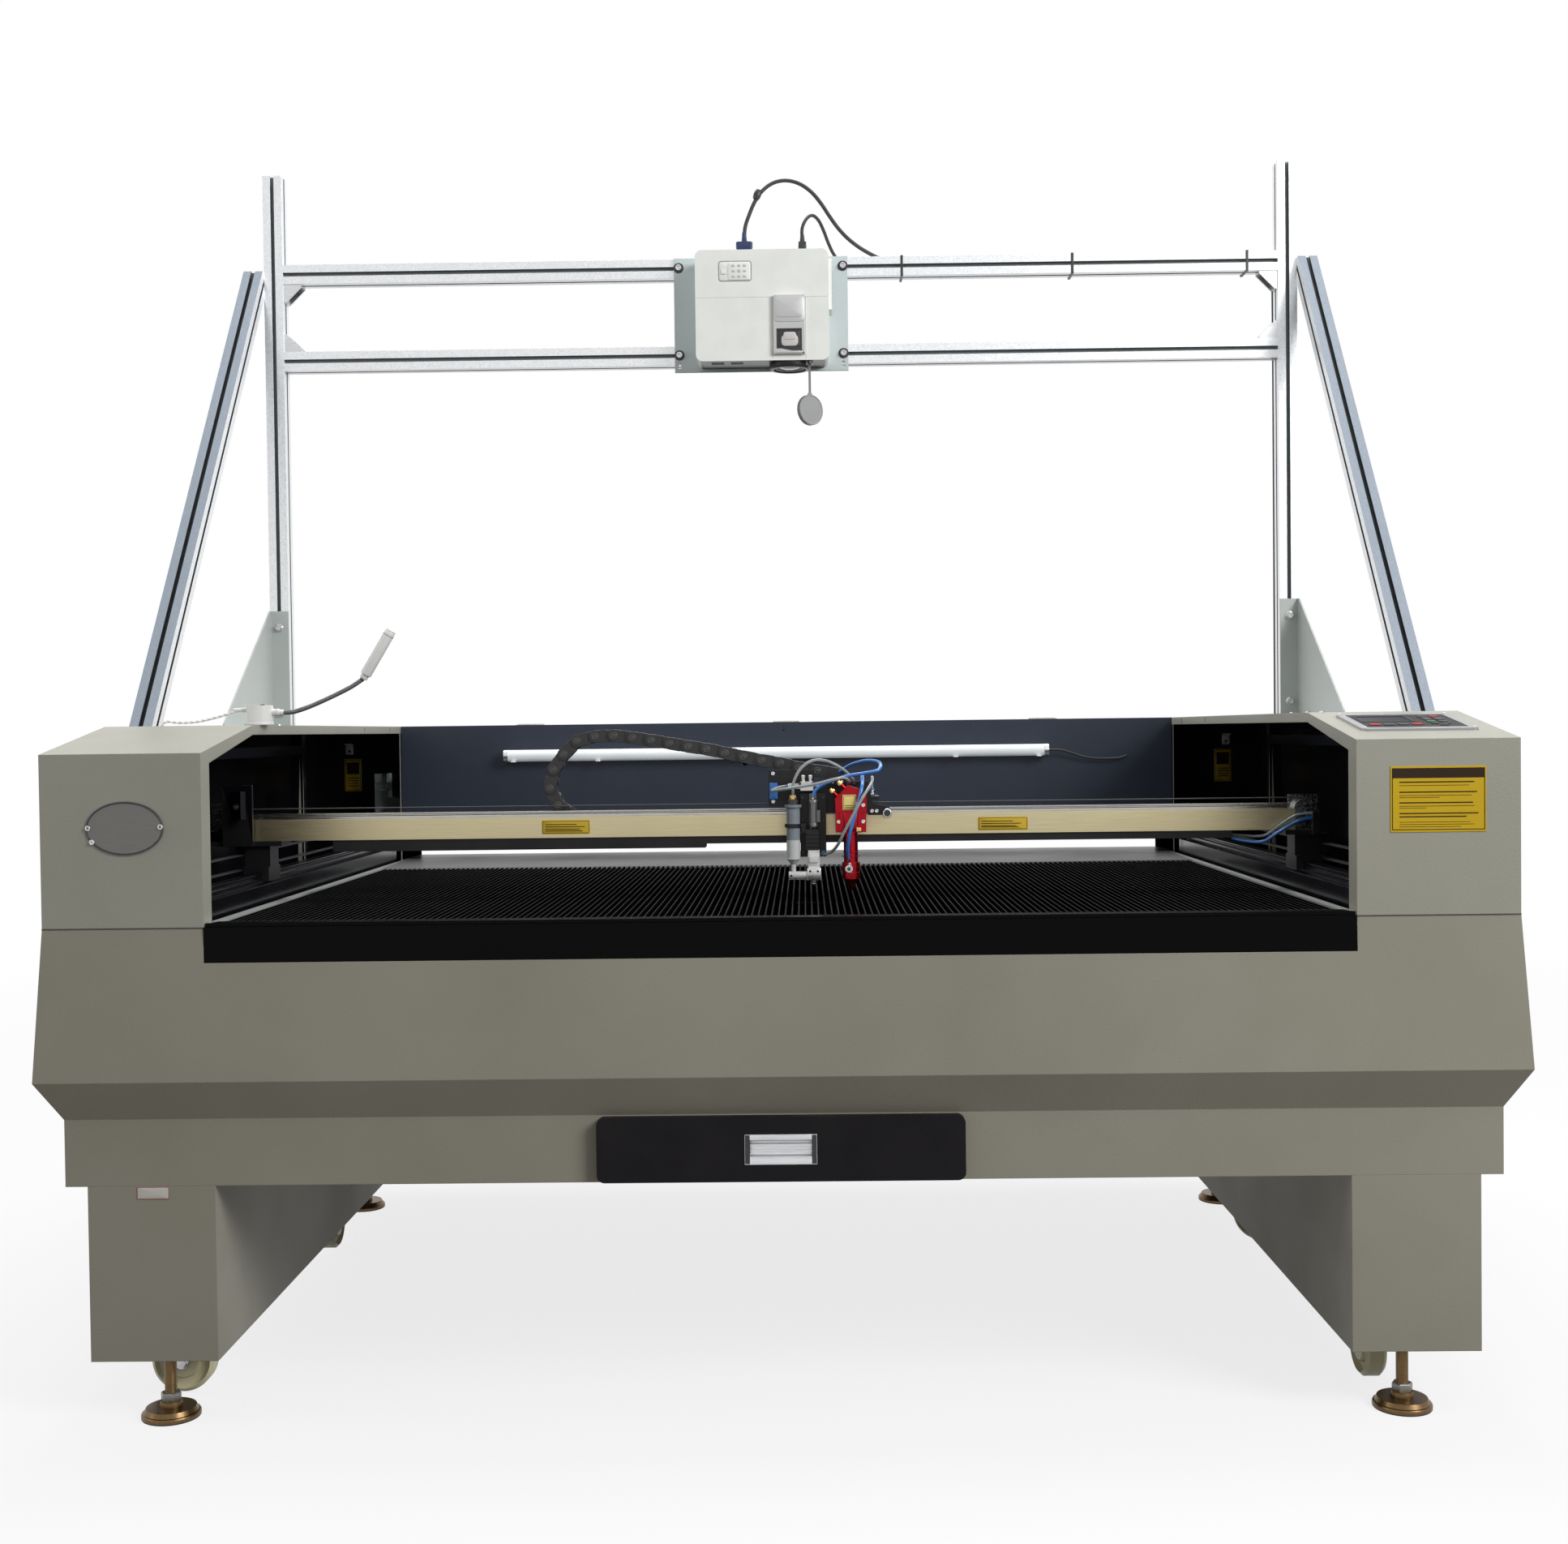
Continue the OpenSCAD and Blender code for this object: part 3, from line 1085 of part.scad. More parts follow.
// ---------- projector ----------
proj_plate_w = 364;
proj_plate_x = -38;
proj_plate_z0 = low_bar_z - 16;
proj_plate_t = 6;
proj_x = proj_plate_x + 4;
proj_z = high_bar_z + 35 - proj_h;
proj_y1 = post_y - proj_plate_t;
module projector_plate() color(putty) difference() {
    block([proj_plate_x - proj_plate_w / 2, proj_y1, proj_plate_z0],
        [proj_plate_x + proj_plate_w / 2, post_y, high_bar_z + profile_w]);
    for (s = [-1, 1]) {
        x = proj_plate_x + s * (proj_plate_w / 2 - 10);
        rod_y(proj_y1 - 1, post_y + 1, x, high_bar_z + profile_w / 2, 3.2);
        rod_y(proj_y1 - 1, post_y + 1, x, low_bar_z + profile_w / 2, 3.2);
        block([x - 3, proj_y1 - 1, low_bar_z - 8], [x + 3, post_y + 1, low_bar_z + 4]);
    }
}
lens_x = proj_x + 55;
// the lens cap hangs by its strap from a pin in two ears under the projector
cap_x = 62;
cap_y = 1050;
cap_r = 31;
strap_l = 68;
cap_z = proj_z - 2;
pin_z = cap_z - 1.5;
pin_r = 1.2;
ear_x = 7;
module projector_body() {
    color("white") translate([proj_x, 0, proj_z + proj_h / 2]) difference() {
        along_y(proj_y1 - proj_t, proj_y1) round_rect(proj_w, proj_h, 14);
        translate([-proj_w / 2 + 82, 0, proj_h / 2 - 44])
            along_y(proj_y1 - proj_t - 1, proj_y1 - proj_t + 1.5) round_rect(68, 42, 6);
        // seam between the two halves of the case
        translate([0, 0, proj_h / 2 - 98]) along_y(proj_y1 - proj_t - 1, proj_y1 - proj_t + 0.8)
            square([proj_w + 2, 1], center = true);
    }
    // lens hood on the face, and the lens ring that looks down
    color(alu) difference() {
        block([lens_x - 32, proj_y1 - proj_t - 8, proj_z + 12],
            [lens_x + 32, proj_y1 - proj_t, proj_z + 132]);
        block([lens_x - 24, proj_y1 - proj_t - 9, proj_z + 24],
            [lens_x + 24, proj_y1 - proj_t - 4, proj_z + 62]);
    }
    color(black) difference() {
        rod_z(proj_z - 12, proj_z, lens_x, proj_y1 - proj_t / 2, proj_t / 2 - 4);
        rod_z(proj_z - 13, proj_z - 3, lens_x, proj_y1 - proj_t / 2, proj_t / 2 - 9);
    }
    color([0.1, 0.12, 0.2]) rod_z(proj_z - 6, proj_z - 3, lens_x, proj_y1 - proj_t / 2, proj_t / 2 - 9.2);
    // ears for the lens cap's pin
    color("white") for (s = [-1, 1]) difference() {
        block([cap_x + min(s * ear_x, s * ear_x / 2), cap_y - 3.5, pin_z - 3],
            [cap_x + max(s * ear_x, s * ear_x / 2), cap_y + 3.5, proj_z]);
        rod_x(cap_x - ear_x - 1, cap_x + ear_x + 1, cap_y, pin_z, pin_r + play);
    }
    // cooling fin cover at the right side
    color("white") block([proj_x + proj_w / 2, proj_y1 - proj_t + 12, proj_z + 105],
        [proj_x + proj_w / 2 + 7, proj_y1 - 12, proj_z + proj_h - 18]);
    // plugs of the two leads
    color([0.15, 0.2, 0.5]) block([proj_x - 50, proj_y1 - 56, proj_z + proj_h],
        [proj_x - 22, proj_y1 - 40, proj_z + proj_h + 24]);
    color(black) block([proj_x + 76, proj_y1 - 56, proj_z + proj_h],
        [proj_x + 92, proj_y1 - 42, proj_z + proj_h + 22]);
}
// leads of the projector: over the crossbar, along its back, and down the right post
video_route = [[-70, 1066, 2063.3], [-70, 1066, 2080], [-62, 1070, 2118], [-40, 1076, 2168],
    [-18, 1082, 2192], [16, 1088, 2202], [56, 1096, 2191], [88, 1106, 2160], [108, 1118, 2125],
    [136, 1134, 2092], [180, 1156, 2064], [216, 1168, 2050], [240, 1168, 2040], [264, 1168, 2034],
    [300, 1168, 2032], [1020, 1168, 2026], [1056, 1168, 1996], [1060, 1168, 1072.3]];
power_route = [[50, 1065, 2061.3], [50, 1065, 2076], [51, 1067, 2100], [58, 1074, 2126], [70, 1082, 2135],
    [82, 1092, 2129], [92, 1108, 2108], [101, 1132, 2083], [112, 1152, 2062], [124, 1170, 2044],
    [138, 1171, 2030], [160, 1169, 2020], [190, 1168, 2015], [260, 1168, 2014], [1010, 1168, 2010],
    [1040, 1168, 1988], [1046, 1168, 1072.3]];
module video_lead() color(black) cord(video_route, 8, [0.05, 1, 0.05]);
module projector_lead() color(black) cord(power_route, 7, [0.05, 1, 0.05]);

module lens_cap() color([0.6, 0.6, 0.62]) {
    rod_x(cap_x - ear_x, cap_x + ear_x, cap_y, pin_z, pin_r);
    block([cap_x - 2.5, cap_y - 0.8, cap_z - strap_l], [cap_x + 2.5, cap_y + 0.8, pin_z]);
    translate([cap_x, cap_y, cap_z - strap_l - cap_r + 2]) rotate([90, 0, 40])
        cylinder(h = 8, r = cap_r, center = true);
}

// ---------- work lamp ----------
lamp_x = -876;
lamp_y = 330;
lamp_r = 22;
lamp_h = 33;
lead_r = 3;
rocker_z = top_z + lamp_h - 3;
rocker_pin_r = 1.6;
arm_route = [[lamp_x + lamp_r + 8, lamp_y, top_z + 21], [-838, lamp_y, top_z + 21], [-818, 330, 1094],
    [-790, 330, 1103], [-755, 330, 1118],
    [-722, 330, 1134], [-700, 330, 1148]];
lamp_lead_route = [[lamp_x - lamp_r - 0.4, 330, 1098], [-918, 330, 1095], [-950, 332, 1086],
    [-985, 334, 1079],
    [-1016, 334, 1078], [-1030, 334, 1080], [-1038, 334, 1079], [-1042, 334, 1075.5], [-1042.5, 334, 1072.2]];
module lamp_base() color("white") {
    difference() {
        rod_z(top_z, top_z + lamp_h, lamp_x, lamp_y, lamp_r);
        block([lamp_x - 9.4, lamp_y - 6, top_z + lamp_h - 8], [lamp_x + 9.4, lamp_y + 6, top_z + lamp_h + 1]);
        rod_y(lamp_y - 9, lamp_y + 9, lamp_x, rocker_z, rocker_pin_r + play);
    }
    rod_x(lamp_x + lamp_r - 1, lamp_x + lamp_r + 8, lamp_y, top_z + 21, 6);
}
module lamp_arm() {
    color([0.5, 0.5, 0.52]) cord(arm_route, 7, [0, 1, 0], 10);
    color("white") translate([-700, 330, 1148]) rotate([0, 31, 0]) {
        cylinder(h = 8, r = 6);
        translate([0, 0, 8]) cylinder(h = 86, r = 8.5);
    }
}
module lamp_lead() color("white") cord(lamp_lead_route, 2 * lead_r - 1, [0.1, 1, 0]);
// the rocker turns on a pin in the two cheeks of its recess
module lamp_rocker() color(black) {
    translate([lamp_x, lamp_y, rocker_z]) rotate([90, 0, 0]) linear_extrude(11, center = true)
        polygon([[-7.2, 1.4], [0, 3.4], [7, 5.4], [6.8, 2], [3, -2.6], [-3, -2.6], [-6.6, -1.6]]);
    rod_y(lamp_y - 8.5, lamp_y + 8.5, lamp_x, rocker_z, rocker_pin_r);
}

// lead of the light tube
light_lead_route = [[light_x + light_l / 2 + 10.3, light_y, light_z], [600, light_y, light_z],
    [622, 1365, 1001],
    [680, 1370, 984], [738, 1372, 982], [756, 1373, 985], [764, 1377, 988], [766, wall_y - 2 * gap, 988.5]];
module light_lead() color(black) cord(light_lead_route, 5);

// ---------- plates, bolts and ties ----------
tie_x = [258, 615, 980];
oval_x = body_hw - 129;
module bolt_y(x, y, z, r, h) translate([x, y, z]) rotate([90, 0, 0]) cylinder(h = h, r = r, $fn = 6);
module fasteners() {
    color(alu) {
        // blank oval plate on the left housing, with its screws
        translate([-oval_x, 0, 916]) along_y(-1.5, 0) oval(120, 83);
        for (x = [-oval_x - 55, -oval_x + 55]) translate([x, -1.5, 917]) rotate([90, 0, 0])
            cylinder(h = 1.5, r = 4);
        // bolts of the projector plate and of the corner plates
        for (s = [-1, 1], z = [high_bar_z + profile_w / 2, low_bar_z + profile_w / 2])
            bolt_y(proj_plate_x + s * (proj_plate_w / 2 - 10), proj_y1, z, 6, 5);
        for (s = [-1, 1], z = [30, 210]) bolt_y(s * post_x, post_y - 3, top_z + z / 245 * gusset_h, 7, 6);
    }
    // blank marker plate on the right housing
    color("gold") block([body_hw - 195, -1, 889], [body_hw - 52, 0, 988]);
    // ties round the upper crossbar and the leads
    color(black) for (x = tie_x) difference() {
        block([x - 2.5, post_y - 1.6, high_bar_z - 1.6],
            [x + 2.5, post_y + profile_w + 14, high_bar_z + profile_w + 1.6]);
        block([x - 3, post_y, high_bar_z], [x + 3, post_y + profile_w + 12.4, high_bar_z + profile_w]);
    }
    hinge_leaves();
}

module fork_front_left() color(alu) castor_at(0) castor_fork();
module fork_front_right() color(alu) castor_at(1) castor_fork();
module fork_rear_left() color(alu) castor_at(2) castor_fork();
module fork_rear_right() color(alu) castor_at(3) castor_fork();
module wheel_front_left() color("ivory") castor_at(0) castor_wheel();
module wheel_front_right() color("ivory") castor_at(1) castor_wheel();
module wheel_rear_left() color("ivory") castor_at(2) castor_wheel();
module wheel_rear_right() color("ivory") castor_at(3) castor_wheel();

// the origin is on the floor, under the middle of the whole machine
module centred() translate([0, -(body_d + spigot_l - waist_out) / 2, 0]) children();

centred() floor_pan();
centred() front_panel();
centred() side_panels();
centred() rear_panel();
centred() pedestals();
centred() levelling_feet();
centred() base_frame();
centred() housing_left();
centred() housing_right();
centred() control_panel();
centred() front_bar();
centred() bed_border();
centred() blade_table();
centred() scrap_hopper();
centred() back_wall();
centred() light_tube();
centred() light_lead();
centred() laser_tube();
centred() y_belts();
centred() electronics();
centred() projector_frame();
centred() frame_brackets();
centred() projector_plate();
centred() projector_body();
centred() video_lead();
centred() projector_lead();
centred() lamp_base();
centred() lamp_arm();
centred() lamp_lead();
centred() fasteners();
centred() drawer_tray();
centred() drawer_front();
centred() rear_lid();
centred() fork_front_left();
centred() fork_front_right();
centred() fork_rear_left();
centred() fork_rear_right();
centred() wheel_front_left();
centred() wheel_front_right();
centred() wheel_rear_left();
centred() wheel_rear_right();
centred() gantry_beam();
centred() gantry_mounts();
centred() x_belt();
centred() beam_trays();
centred() cable_carrier();
centred() gantry_hose();
centred() x_pulley();
centred() y_drive_shaft();
centred() carriage_plate();
centred() head_block();
centred() lens_tube();
centred() dispenser_slide();
centred() dispenser();
centred() syringe();
centred() blue_hose();
centred() air_hose();
centred() clear_hose();
centred() lens_cap();
centred() lamp_rocker();
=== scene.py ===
# %% [markdown]
# A laser cutting machine, dressed for its picture
# ------------------------------------------------
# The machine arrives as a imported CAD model: sixty named pieces that already have their true
# sizes and their joints. This script gives each piece its finish and adds what a solid model
# leaves out: hoses on smooth curves, threads, keys, ribs, bolts and slots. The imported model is
# loaded first, as a fixed frame that nothing here may move.

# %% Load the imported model
import math
import bpy
import numpy as np
from mathutils import Matrix, Vector


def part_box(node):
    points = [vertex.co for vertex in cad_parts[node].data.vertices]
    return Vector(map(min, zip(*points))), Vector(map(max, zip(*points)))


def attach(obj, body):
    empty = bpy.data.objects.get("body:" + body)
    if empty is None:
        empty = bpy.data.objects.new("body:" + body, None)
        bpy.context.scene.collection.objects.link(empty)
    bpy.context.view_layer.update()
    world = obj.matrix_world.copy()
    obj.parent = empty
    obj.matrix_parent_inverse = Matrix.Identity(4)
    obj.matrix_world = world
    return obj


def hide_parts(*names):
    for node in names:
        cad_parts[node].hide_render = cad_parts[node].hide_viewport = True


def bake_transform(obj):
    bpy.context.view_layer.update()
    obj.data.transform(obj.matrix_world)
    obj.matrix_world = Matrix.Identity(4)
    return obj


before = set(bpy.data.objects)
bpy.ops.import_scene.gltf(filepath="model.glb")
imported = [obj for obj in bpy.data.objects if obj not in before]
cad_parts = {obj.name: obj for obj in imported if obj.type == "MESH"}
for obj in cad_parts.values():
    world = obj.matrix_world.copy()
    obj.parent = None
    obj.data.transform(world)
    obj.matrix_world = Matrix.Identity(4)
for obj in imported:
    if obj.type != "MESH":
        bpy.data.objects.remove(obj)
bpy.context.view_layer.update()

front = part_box("housing_left")[0].y

# %% [markdown]
# Every drawing of this machine counts depth from the front faces of its two side housings, in
# millimetres, so the script does the same. One helper turns such points into metres in the
# shared frame. The camera stands a little right of the middle, at the height of the work bed,
# and a long lens keeps the wide machine from looking stretched.

# %% Points in the frame, and the camera
def spot(points):
    """Millimetres from the housings' front faces -> metres in the shared frame."""
    return np.asarray(points, float) * 0.001 + [0, front, 0]


eye = bpy.data.objects.new("eye", bpy.data.cameras.new("eye"))
bpy.context.collection.objects.link(eye)
tilt, swing, roll = (math.radians(a) for a in (-1.27, 0.66, -0.68))
eye.matrix_world = (Matrix.Translation((0.0436, -3.5883, 1.0518)) @ Matrix.Rotation(swing, 4, "Z")
                    @ Matrix.Rotation(math.pi / 2 + tilt, 4, "X") @ Matrix.Rotation(roll, 4, "Z"))
eye.data.sensor_width = 36
eye.data.lens = 42.49
eye.data.clip_end = 60
bpy.context.scene.camera = eye
print("camera at", tuple(round(c, 3) for c in eye.location), "lens", eye.data.lens, "mm")

# %% [markdown]
# Almost every small piece here is a stack of rings: a hose is a circle carried along a curve, a
# bolt is a circle that changes radius, a plate is a rounded outline with its rim drawn in. So one
# function joins rings into a closed surface, and the others only work out where the rings go.
# All of it is done on whole numpy arrays, which stays quick for thousands of copies.

# %% Rings, and the surface over them
UP = (0, 0, 1)
DOWN = (0, 0, -1)
FORWARD = (0, -1, 0)


def around(sides):
    """That many equal angles, once round a circle."""
    return np.linspace(0, 2 * math.pi, sides, endpoint=False)


def loft(rings):
    """Surface over rings[i, j] (i along, j around), closed around j, each end closed by a fan of
    triangles to the ring's mean point. Gives (points, quads, triangles)."""
    rings = np.asarray(rings, float)
    n, m = rings.shape[:2]
    i, j = np.meshgrid(np.arange(n - 1), np.arange(m), indexing="ij")
    k = (j + 1) % m
    quads = np.stack([i * m + j, i * m + k, (i + 1) * m + k, (i + 1) * m + j], -1).reshape(-1, 4)
    a = np.arange(m)
    b = (a + 1) % m
    ends = np.stack([rings[0].mean(0), rings[-1].mean(0)])
    first = np.stack([b, a, np.full(m, n * m)], -1)
    last = np.stack([(n - 1) * m + a, (n - 1) * m + b, np.full(m, n * m + 1)], -1)
    return np.vstack([rings.reshape(-1, 3), ends]), quads, np.vstack([first, last])


def joined(shapes):
    """Several shapes as one: points stacked, and each face's indices moved up by the points before."""
    shift = np.cumsum([0] + [len(s[0]) for s in shapes[:-1]])
    return (np.vstack([s[0] for s in shapes]),
            np.vstack([s[1] + d for s, d in zip(shapes, shift)]),
            np.vstack([s[2] + d for s, d in zip(shapes, shift)]))


def copies(shape, places):
    """The same shape at each of places, by adding every place to every point."""
    points, quads, tris = shape
    places = np.asarray(places, float).reshape(-1, 1, 3)
    shift = (np.arange(len(places)) * len(points)).reshape(-1, 1, 1)
    return ((points + places).reshape(-1, 3), (quads + shift).reshape(-1, 4),
            (tris + shift).reshape(-1, 3))


def turned_to(shape, axis):
    """A shape drawn round +Z, turned so that +Z becomes axis (the shortest turn)."""
    turn = np.array(Vector(UP).rotation_difference(Vector(axis)).to_matrix())
    return shape[0] @ turn.T, shape[1], shape[2]


def lathe(profile, axis=UP, at=(0, 0, 0), sides=28):
    """A turned piece: profile is (radius, height) pairs, and point (r, h) sweeps the circle
    (r cos a, r sin a, h)."""
    profile = np.asarray(profile, float)
    a = around(sides)
    ring = np.stack([np.cos(a), np.sin(a), np.zeros(sides)], -1)
    rings = ring * profile[:, :1, None] + [0, 0, 1] * profile[:, 1:, None]
    points, quads, tris = turned_to(loft(rings), axis)
    return points + np.asarray(at, float), quads, tris


def slab(low, high, radius=2.0, rim=1.0, axis=2, steps=4):
    """A block with round corners across one axis and a rounded rim: outline = rounded rectangle,
    drawn in by rim (1 - sin t) while it rises by rim (1 - cos t) at each end."""
    low, high = np.asarray(low, float), np.asarray(high, float)
    u, v = [k for k in range(3) if k != axis]
    if axis == 1:
        u, v = v, u
    mid, half = (low + high) / 2, (high - low) / 2
    radius = min(radius, half[u] * 0.999, half[v] * 0.999)
    rim = min(rim, half[axis] * 0.5, radius * 0.9)
    t = np.linspace(0, math.pi / 2, steps)
    corner = np.concatenate([t + q * math.pi / 2 for q in range(4)])
    side = np.repeat([[1, 1], [-1, 1], [-1, -1], [1, -1]], steps, axis=0)
    rise = np.linspace(0, math.pi / 2, 3)
    draw = np.concatenate([rim * (1 - np.sin(rise)), rim * (1 - np.sin(rise))[::-1]])
    lift = np.concatenate([-half[axis] + rim * (1 - np.cos(rise)),
                           (half[axis] - rim * (1 - np.cos(rise)))[::-1]])
    rings = np.zeros((len(draw), len(corner), 3))
    r = (radius - draw)[:, None]
    rings[..., u] = mid[u] + side[:, 0] * (half[u] - radius) + r * np.cos(corner)
    rings[..., v] = mid[v] + side[:, 1] * (half[v] - radius) + r * np.sin(corner)
    rings[..., axis] = mid[axis] + lift[:, None]
    return loft(rings)


def screw_head(radius, height, at, axis=FORWARD, sides=24):
    """A low round head with a hexagon socket: a lathe profile that rises, rolls over its rim and
    drops into the socket."""
    r, h = radius, height
    return lathe([(r, 0), (r, h * 0.7), (r * 0.9, h), (r * 0.52, h), (r * 0.46, h * 0.55),
                  (0.02, h * 0.5)], axis, at, sides)


def hexagon(radius, height, at, axis=UP):
    """A hexagon nut or head: six-sided rings, the last two drawn in for the chamfer."""
    r, h = radius, height
    return lathe([(r * 0.93, 0), (r, h * 0.12), (r, h * 0.88), (r * 0.9, h)], axis, at, 6)


print("ring helpers ready; a hexagon head has", len(hexagon(1, 1, (0, 0, 0))[0]), "points")

# %% Shapes into Blender objects
def all_in(finish, shapes):
    """Several shapes in one finish, as pairs for piece()."""
    return [(shape, finish) for shape in shapes]


def screws(finish, radius, height, places, axis=FORWARD, sides=24):
    """The same screw head at each place."""
    return all_in(finish, [screw_head(radius, height, at, axis, sides) for at in places])


def moved(pairs, turn, move):
    """(shape, finish) pairs turned and then moved."""
    return [((p @ turn + move, q, t), finish) for (p, q, t), finish in pairs]


def piece(name, parts, body, smooth=35):
    """One object from [(shape in mm, material), ...]; rides on body and takes the given finishes."""
    whole = joined([shape for shape, _ in parts])
    index = [np.full(len(s[1]), k) for k, (s, _) in enumerate(parts)]
    index += [np.full(len(s[2]), k) for k, (s, _) in enumerate(parts)]
    points, quads, tris = whole
    mesh = bpy.data.meshes.new(name)
    mesh.vertices.add(len(points))
    mesh.vertices.foreach_set("co", spot(points).astype(np.float32).ravel())
    mesh.loops.add(quads.size + tris.size)
    mesh.loops.foreach_set("vertex_index", np.concatenate([quads.ravel(), tris.ravel()]).astype(np.int32))
    mesh.polygons.add(len(quads) + len(tris))
    starts = np.concatenate([np.arange(len(quads)) * 4, quads.size + np.arange(len(tris)) * 3])
    mesh.polygons.foreach_set("loop_start", starts.astype(np.int32))
    finishes = []
    for _, material in parts:
        if material not in finishes:
            finishes.append(material)
            mesh.materials.append(material)
    which = np.array([finishes.index(material) for _, material in parts])
    mesh.polygons.foreach_set("material_index", which[np.concatenate(index)].astype(np.int32))
    mesh.update(calc_edges=True)
    mesh.validate()
    mesh.polygons.foreach_set("use_smooth", np.ones(len(mesh.polygons), bool))
    mesh.set_sharp_from_angle(angle=math.radians(smooth))
    obj = bpy.data.objects.new(name, mesh)
    bpy.context.collection.objects.link(obj)
    if body:
        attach(obj, body)
    return obj

# %% [markdown]
# Finishes
# --------
# A real surface is never one flat colour. Powder coat has a fine orange-peel skin, brushed metal
# has streaks in one direction, and every folded edge catches light because it is slightly round.
# The rounding is in the normals, and the powder coat and brushed metal groups also paint the
# edges brighter in colour, a painted highlight.
# Each of those effects is used by several finishes, so each is built once as a node group, and a
# finish only sets its own colours and amounts. All patterns read Object coordinates, in metres,
# so they stay still on a piece when it moves.

# %% Helpers that place nodes
def add(tree, kind, inputs=None, **settings):
    """One shader node. An input given as a socket is wired, and any other value is written in."""
    made = tree.nodes.new("ShaderNode" + kind)
    for name, value in settings.items():
        setattr(made, name, value)
    for name, value in (inputs or {}).items():
        if isinstance(value, bpy.types.NodeSocket):
            tree.links.new(value, made.inputs[name])
        else:
            made.inputs[name].default_value = value
    return made


def new_group(name, takes, gives):
    """An empty group with named sockets: takes = (name, kind, value), gives = (name, kind)."""
    tree = bpy.data.node_groups.new(name, "ShaderNodeTree")
    for title, kind, value in takes:
        socket = tree.interface.new_socket(title, in_out="INPUT", socket_type="NodeSocket" + kind)
        if value is not None:
            socket.default_value = value
    for title, kind in gives:
        tree.interface.new_socket(title, in_out="OUTPUT", socket_type="NodeSocket" + kind)
    return tree, tree.nodes.new("NodeGroupInput").outputs, tree.nodes.new("NodeGroupOutput").inputs


def blended(tree, amount, a, b, kind="MIX"):
    """Colour a turned into colour b by amount, which may be a number or a socket."""
    mix = add(tree, "Mix", data_type="RGBA", blend_type=kind)
    for socket, value in ((mix.inputs[0], amount), (mix.inputs[6], a), (mix.inputs[7], b)):
        if isinstance(value, bpy.types.NodeSocket):
            tree.links.new(value, socket)
        else:
            socket.default_value = value
    return mix.outputs[2]


def spread(tree, value, low, high, to_low=0.0, to_high=1.0):
    """A value's range low..high carried to to_low..to_high, held at both ends."""
    return add(tree, "MapRange", {"Value": value, "From Min": low, "From Max": high,
                                  "To Min": to_low, "To Max": to_high}).outputs["Result"]


def calc(tree, operation, a, b):
    """One number made from two."""
    return add(tree, "Math", {0: a, 1: b}, operation=operation).outputs[0]


def noise(tree, place, scale, detail, roughness=0.5):
    """Cloudy noise between 0 and 1."""
    return add(tree, "TexNoise", {"Vector": place, "Scale": scale, "Detail": detail,
                                  "Roughness": roughness}).outputs["Fac"]


def tinted(tree, colour, factor):
    """A colour times a fixed one."""
    return blended(tree, 1.0, colour, (*factor, 1), "MULTIPLY")


# %% Node groups: rounded edges and dust
def edge_group():
    """Normals that round every edge, and a mask of where they do, which the powder coat and brushed metal
    groups use to paint a highlight on the edges.
    """
    tree, take, give = new_group("rounded_edges", [("Radius", "Float", 0.001)],
                                 [("Normal", "Vector"), ("Edge", "Float")])
    soft = add(tree, "Bevel", {"Radius": take["Radius"]}, samples=4).outputs[0]
    true = add(tree, "NewGeometry").outputs["True Normal"]
    dot = add(tree, "VectorMath", {0: soft, 1: true}, operation="DOT_PRODUCT").outputs["Value"]
    tree.links.new(soft, give["Normal"])
    tree.links.new(spread(tree, dot, 0.998, 0.8), give["Edge"])


def dust_group():
    """Patches of dust, most of it on what faces up."""
    takes = [("Colour", "Color", (1, 1, 1, 1)), ("Amount", "Float", 0.2)]
    tree, take, give = new_group("settled_dust", takes, [("Colour", "Color")])
    place = add(tree, "TexCoord").outputs["Object"]
    up = add(tree, "SeparateXYZ", {0: add(tree, "NewGeometry").outputs["Normal"]}).outputs["Z"]
    patch = spread(tree, noise(tree, place, 14.0, 5.0, 0.62), 0.36, 0.7)
    mask = calc(tree, "MULTIPLY", patch, spread(tree, up, 0.2, 1.0, 0.25, 1.0))
    mask = calc(tree, "MULTIPLY", mask, take["Amount"])
    tree.links.new(blended(tree, mask, take["Colour"], (0.36, 0.33, 0.28, 1)), give["Colour"])


edge_group()
dust_group()

# %% Node groups: powder coat, brushed metal, moulded plastic
def surface_group(name, *amounts):
    """A group for a whole surface, which takes a colour, a normal, an edge mask and its own amounts
    and gives a colour, a roughness and a normal. Its place in Object coordinates comes with it."""
    takes = [("Colour", "Color", (1, 1, 1, 1)), ("Normal", "Vector", None), ("Edge", "Float", 0.0),
             *amounts]
    tree, take, give = new_group(name, takes, [("Colour", "Color"), ("Roughness", "Float"),
                                               ("Normal", "Vector")])
    return tree, take, give, add(tree, "TexCoord").outputs["Object"]


def close_group(tree, take, give, colour, change, depth, distance, height):
    """The end that the surface groups share: the colour, the roughness with its change added, and
    the normal with the height pressed into it."""
    tree.links.new(colour, give["Colour"])
    tree.links.new(calc(tree, "ADD", take["Roughness"], change), give["Roughness"])
    bump = add(tree, "Bump", {"Strength": depth, "Distance": distance, "Height": height,
                              "Normal": take["Normal"]})
    tree.links.new(bump.outputs[0], give["Normal"])


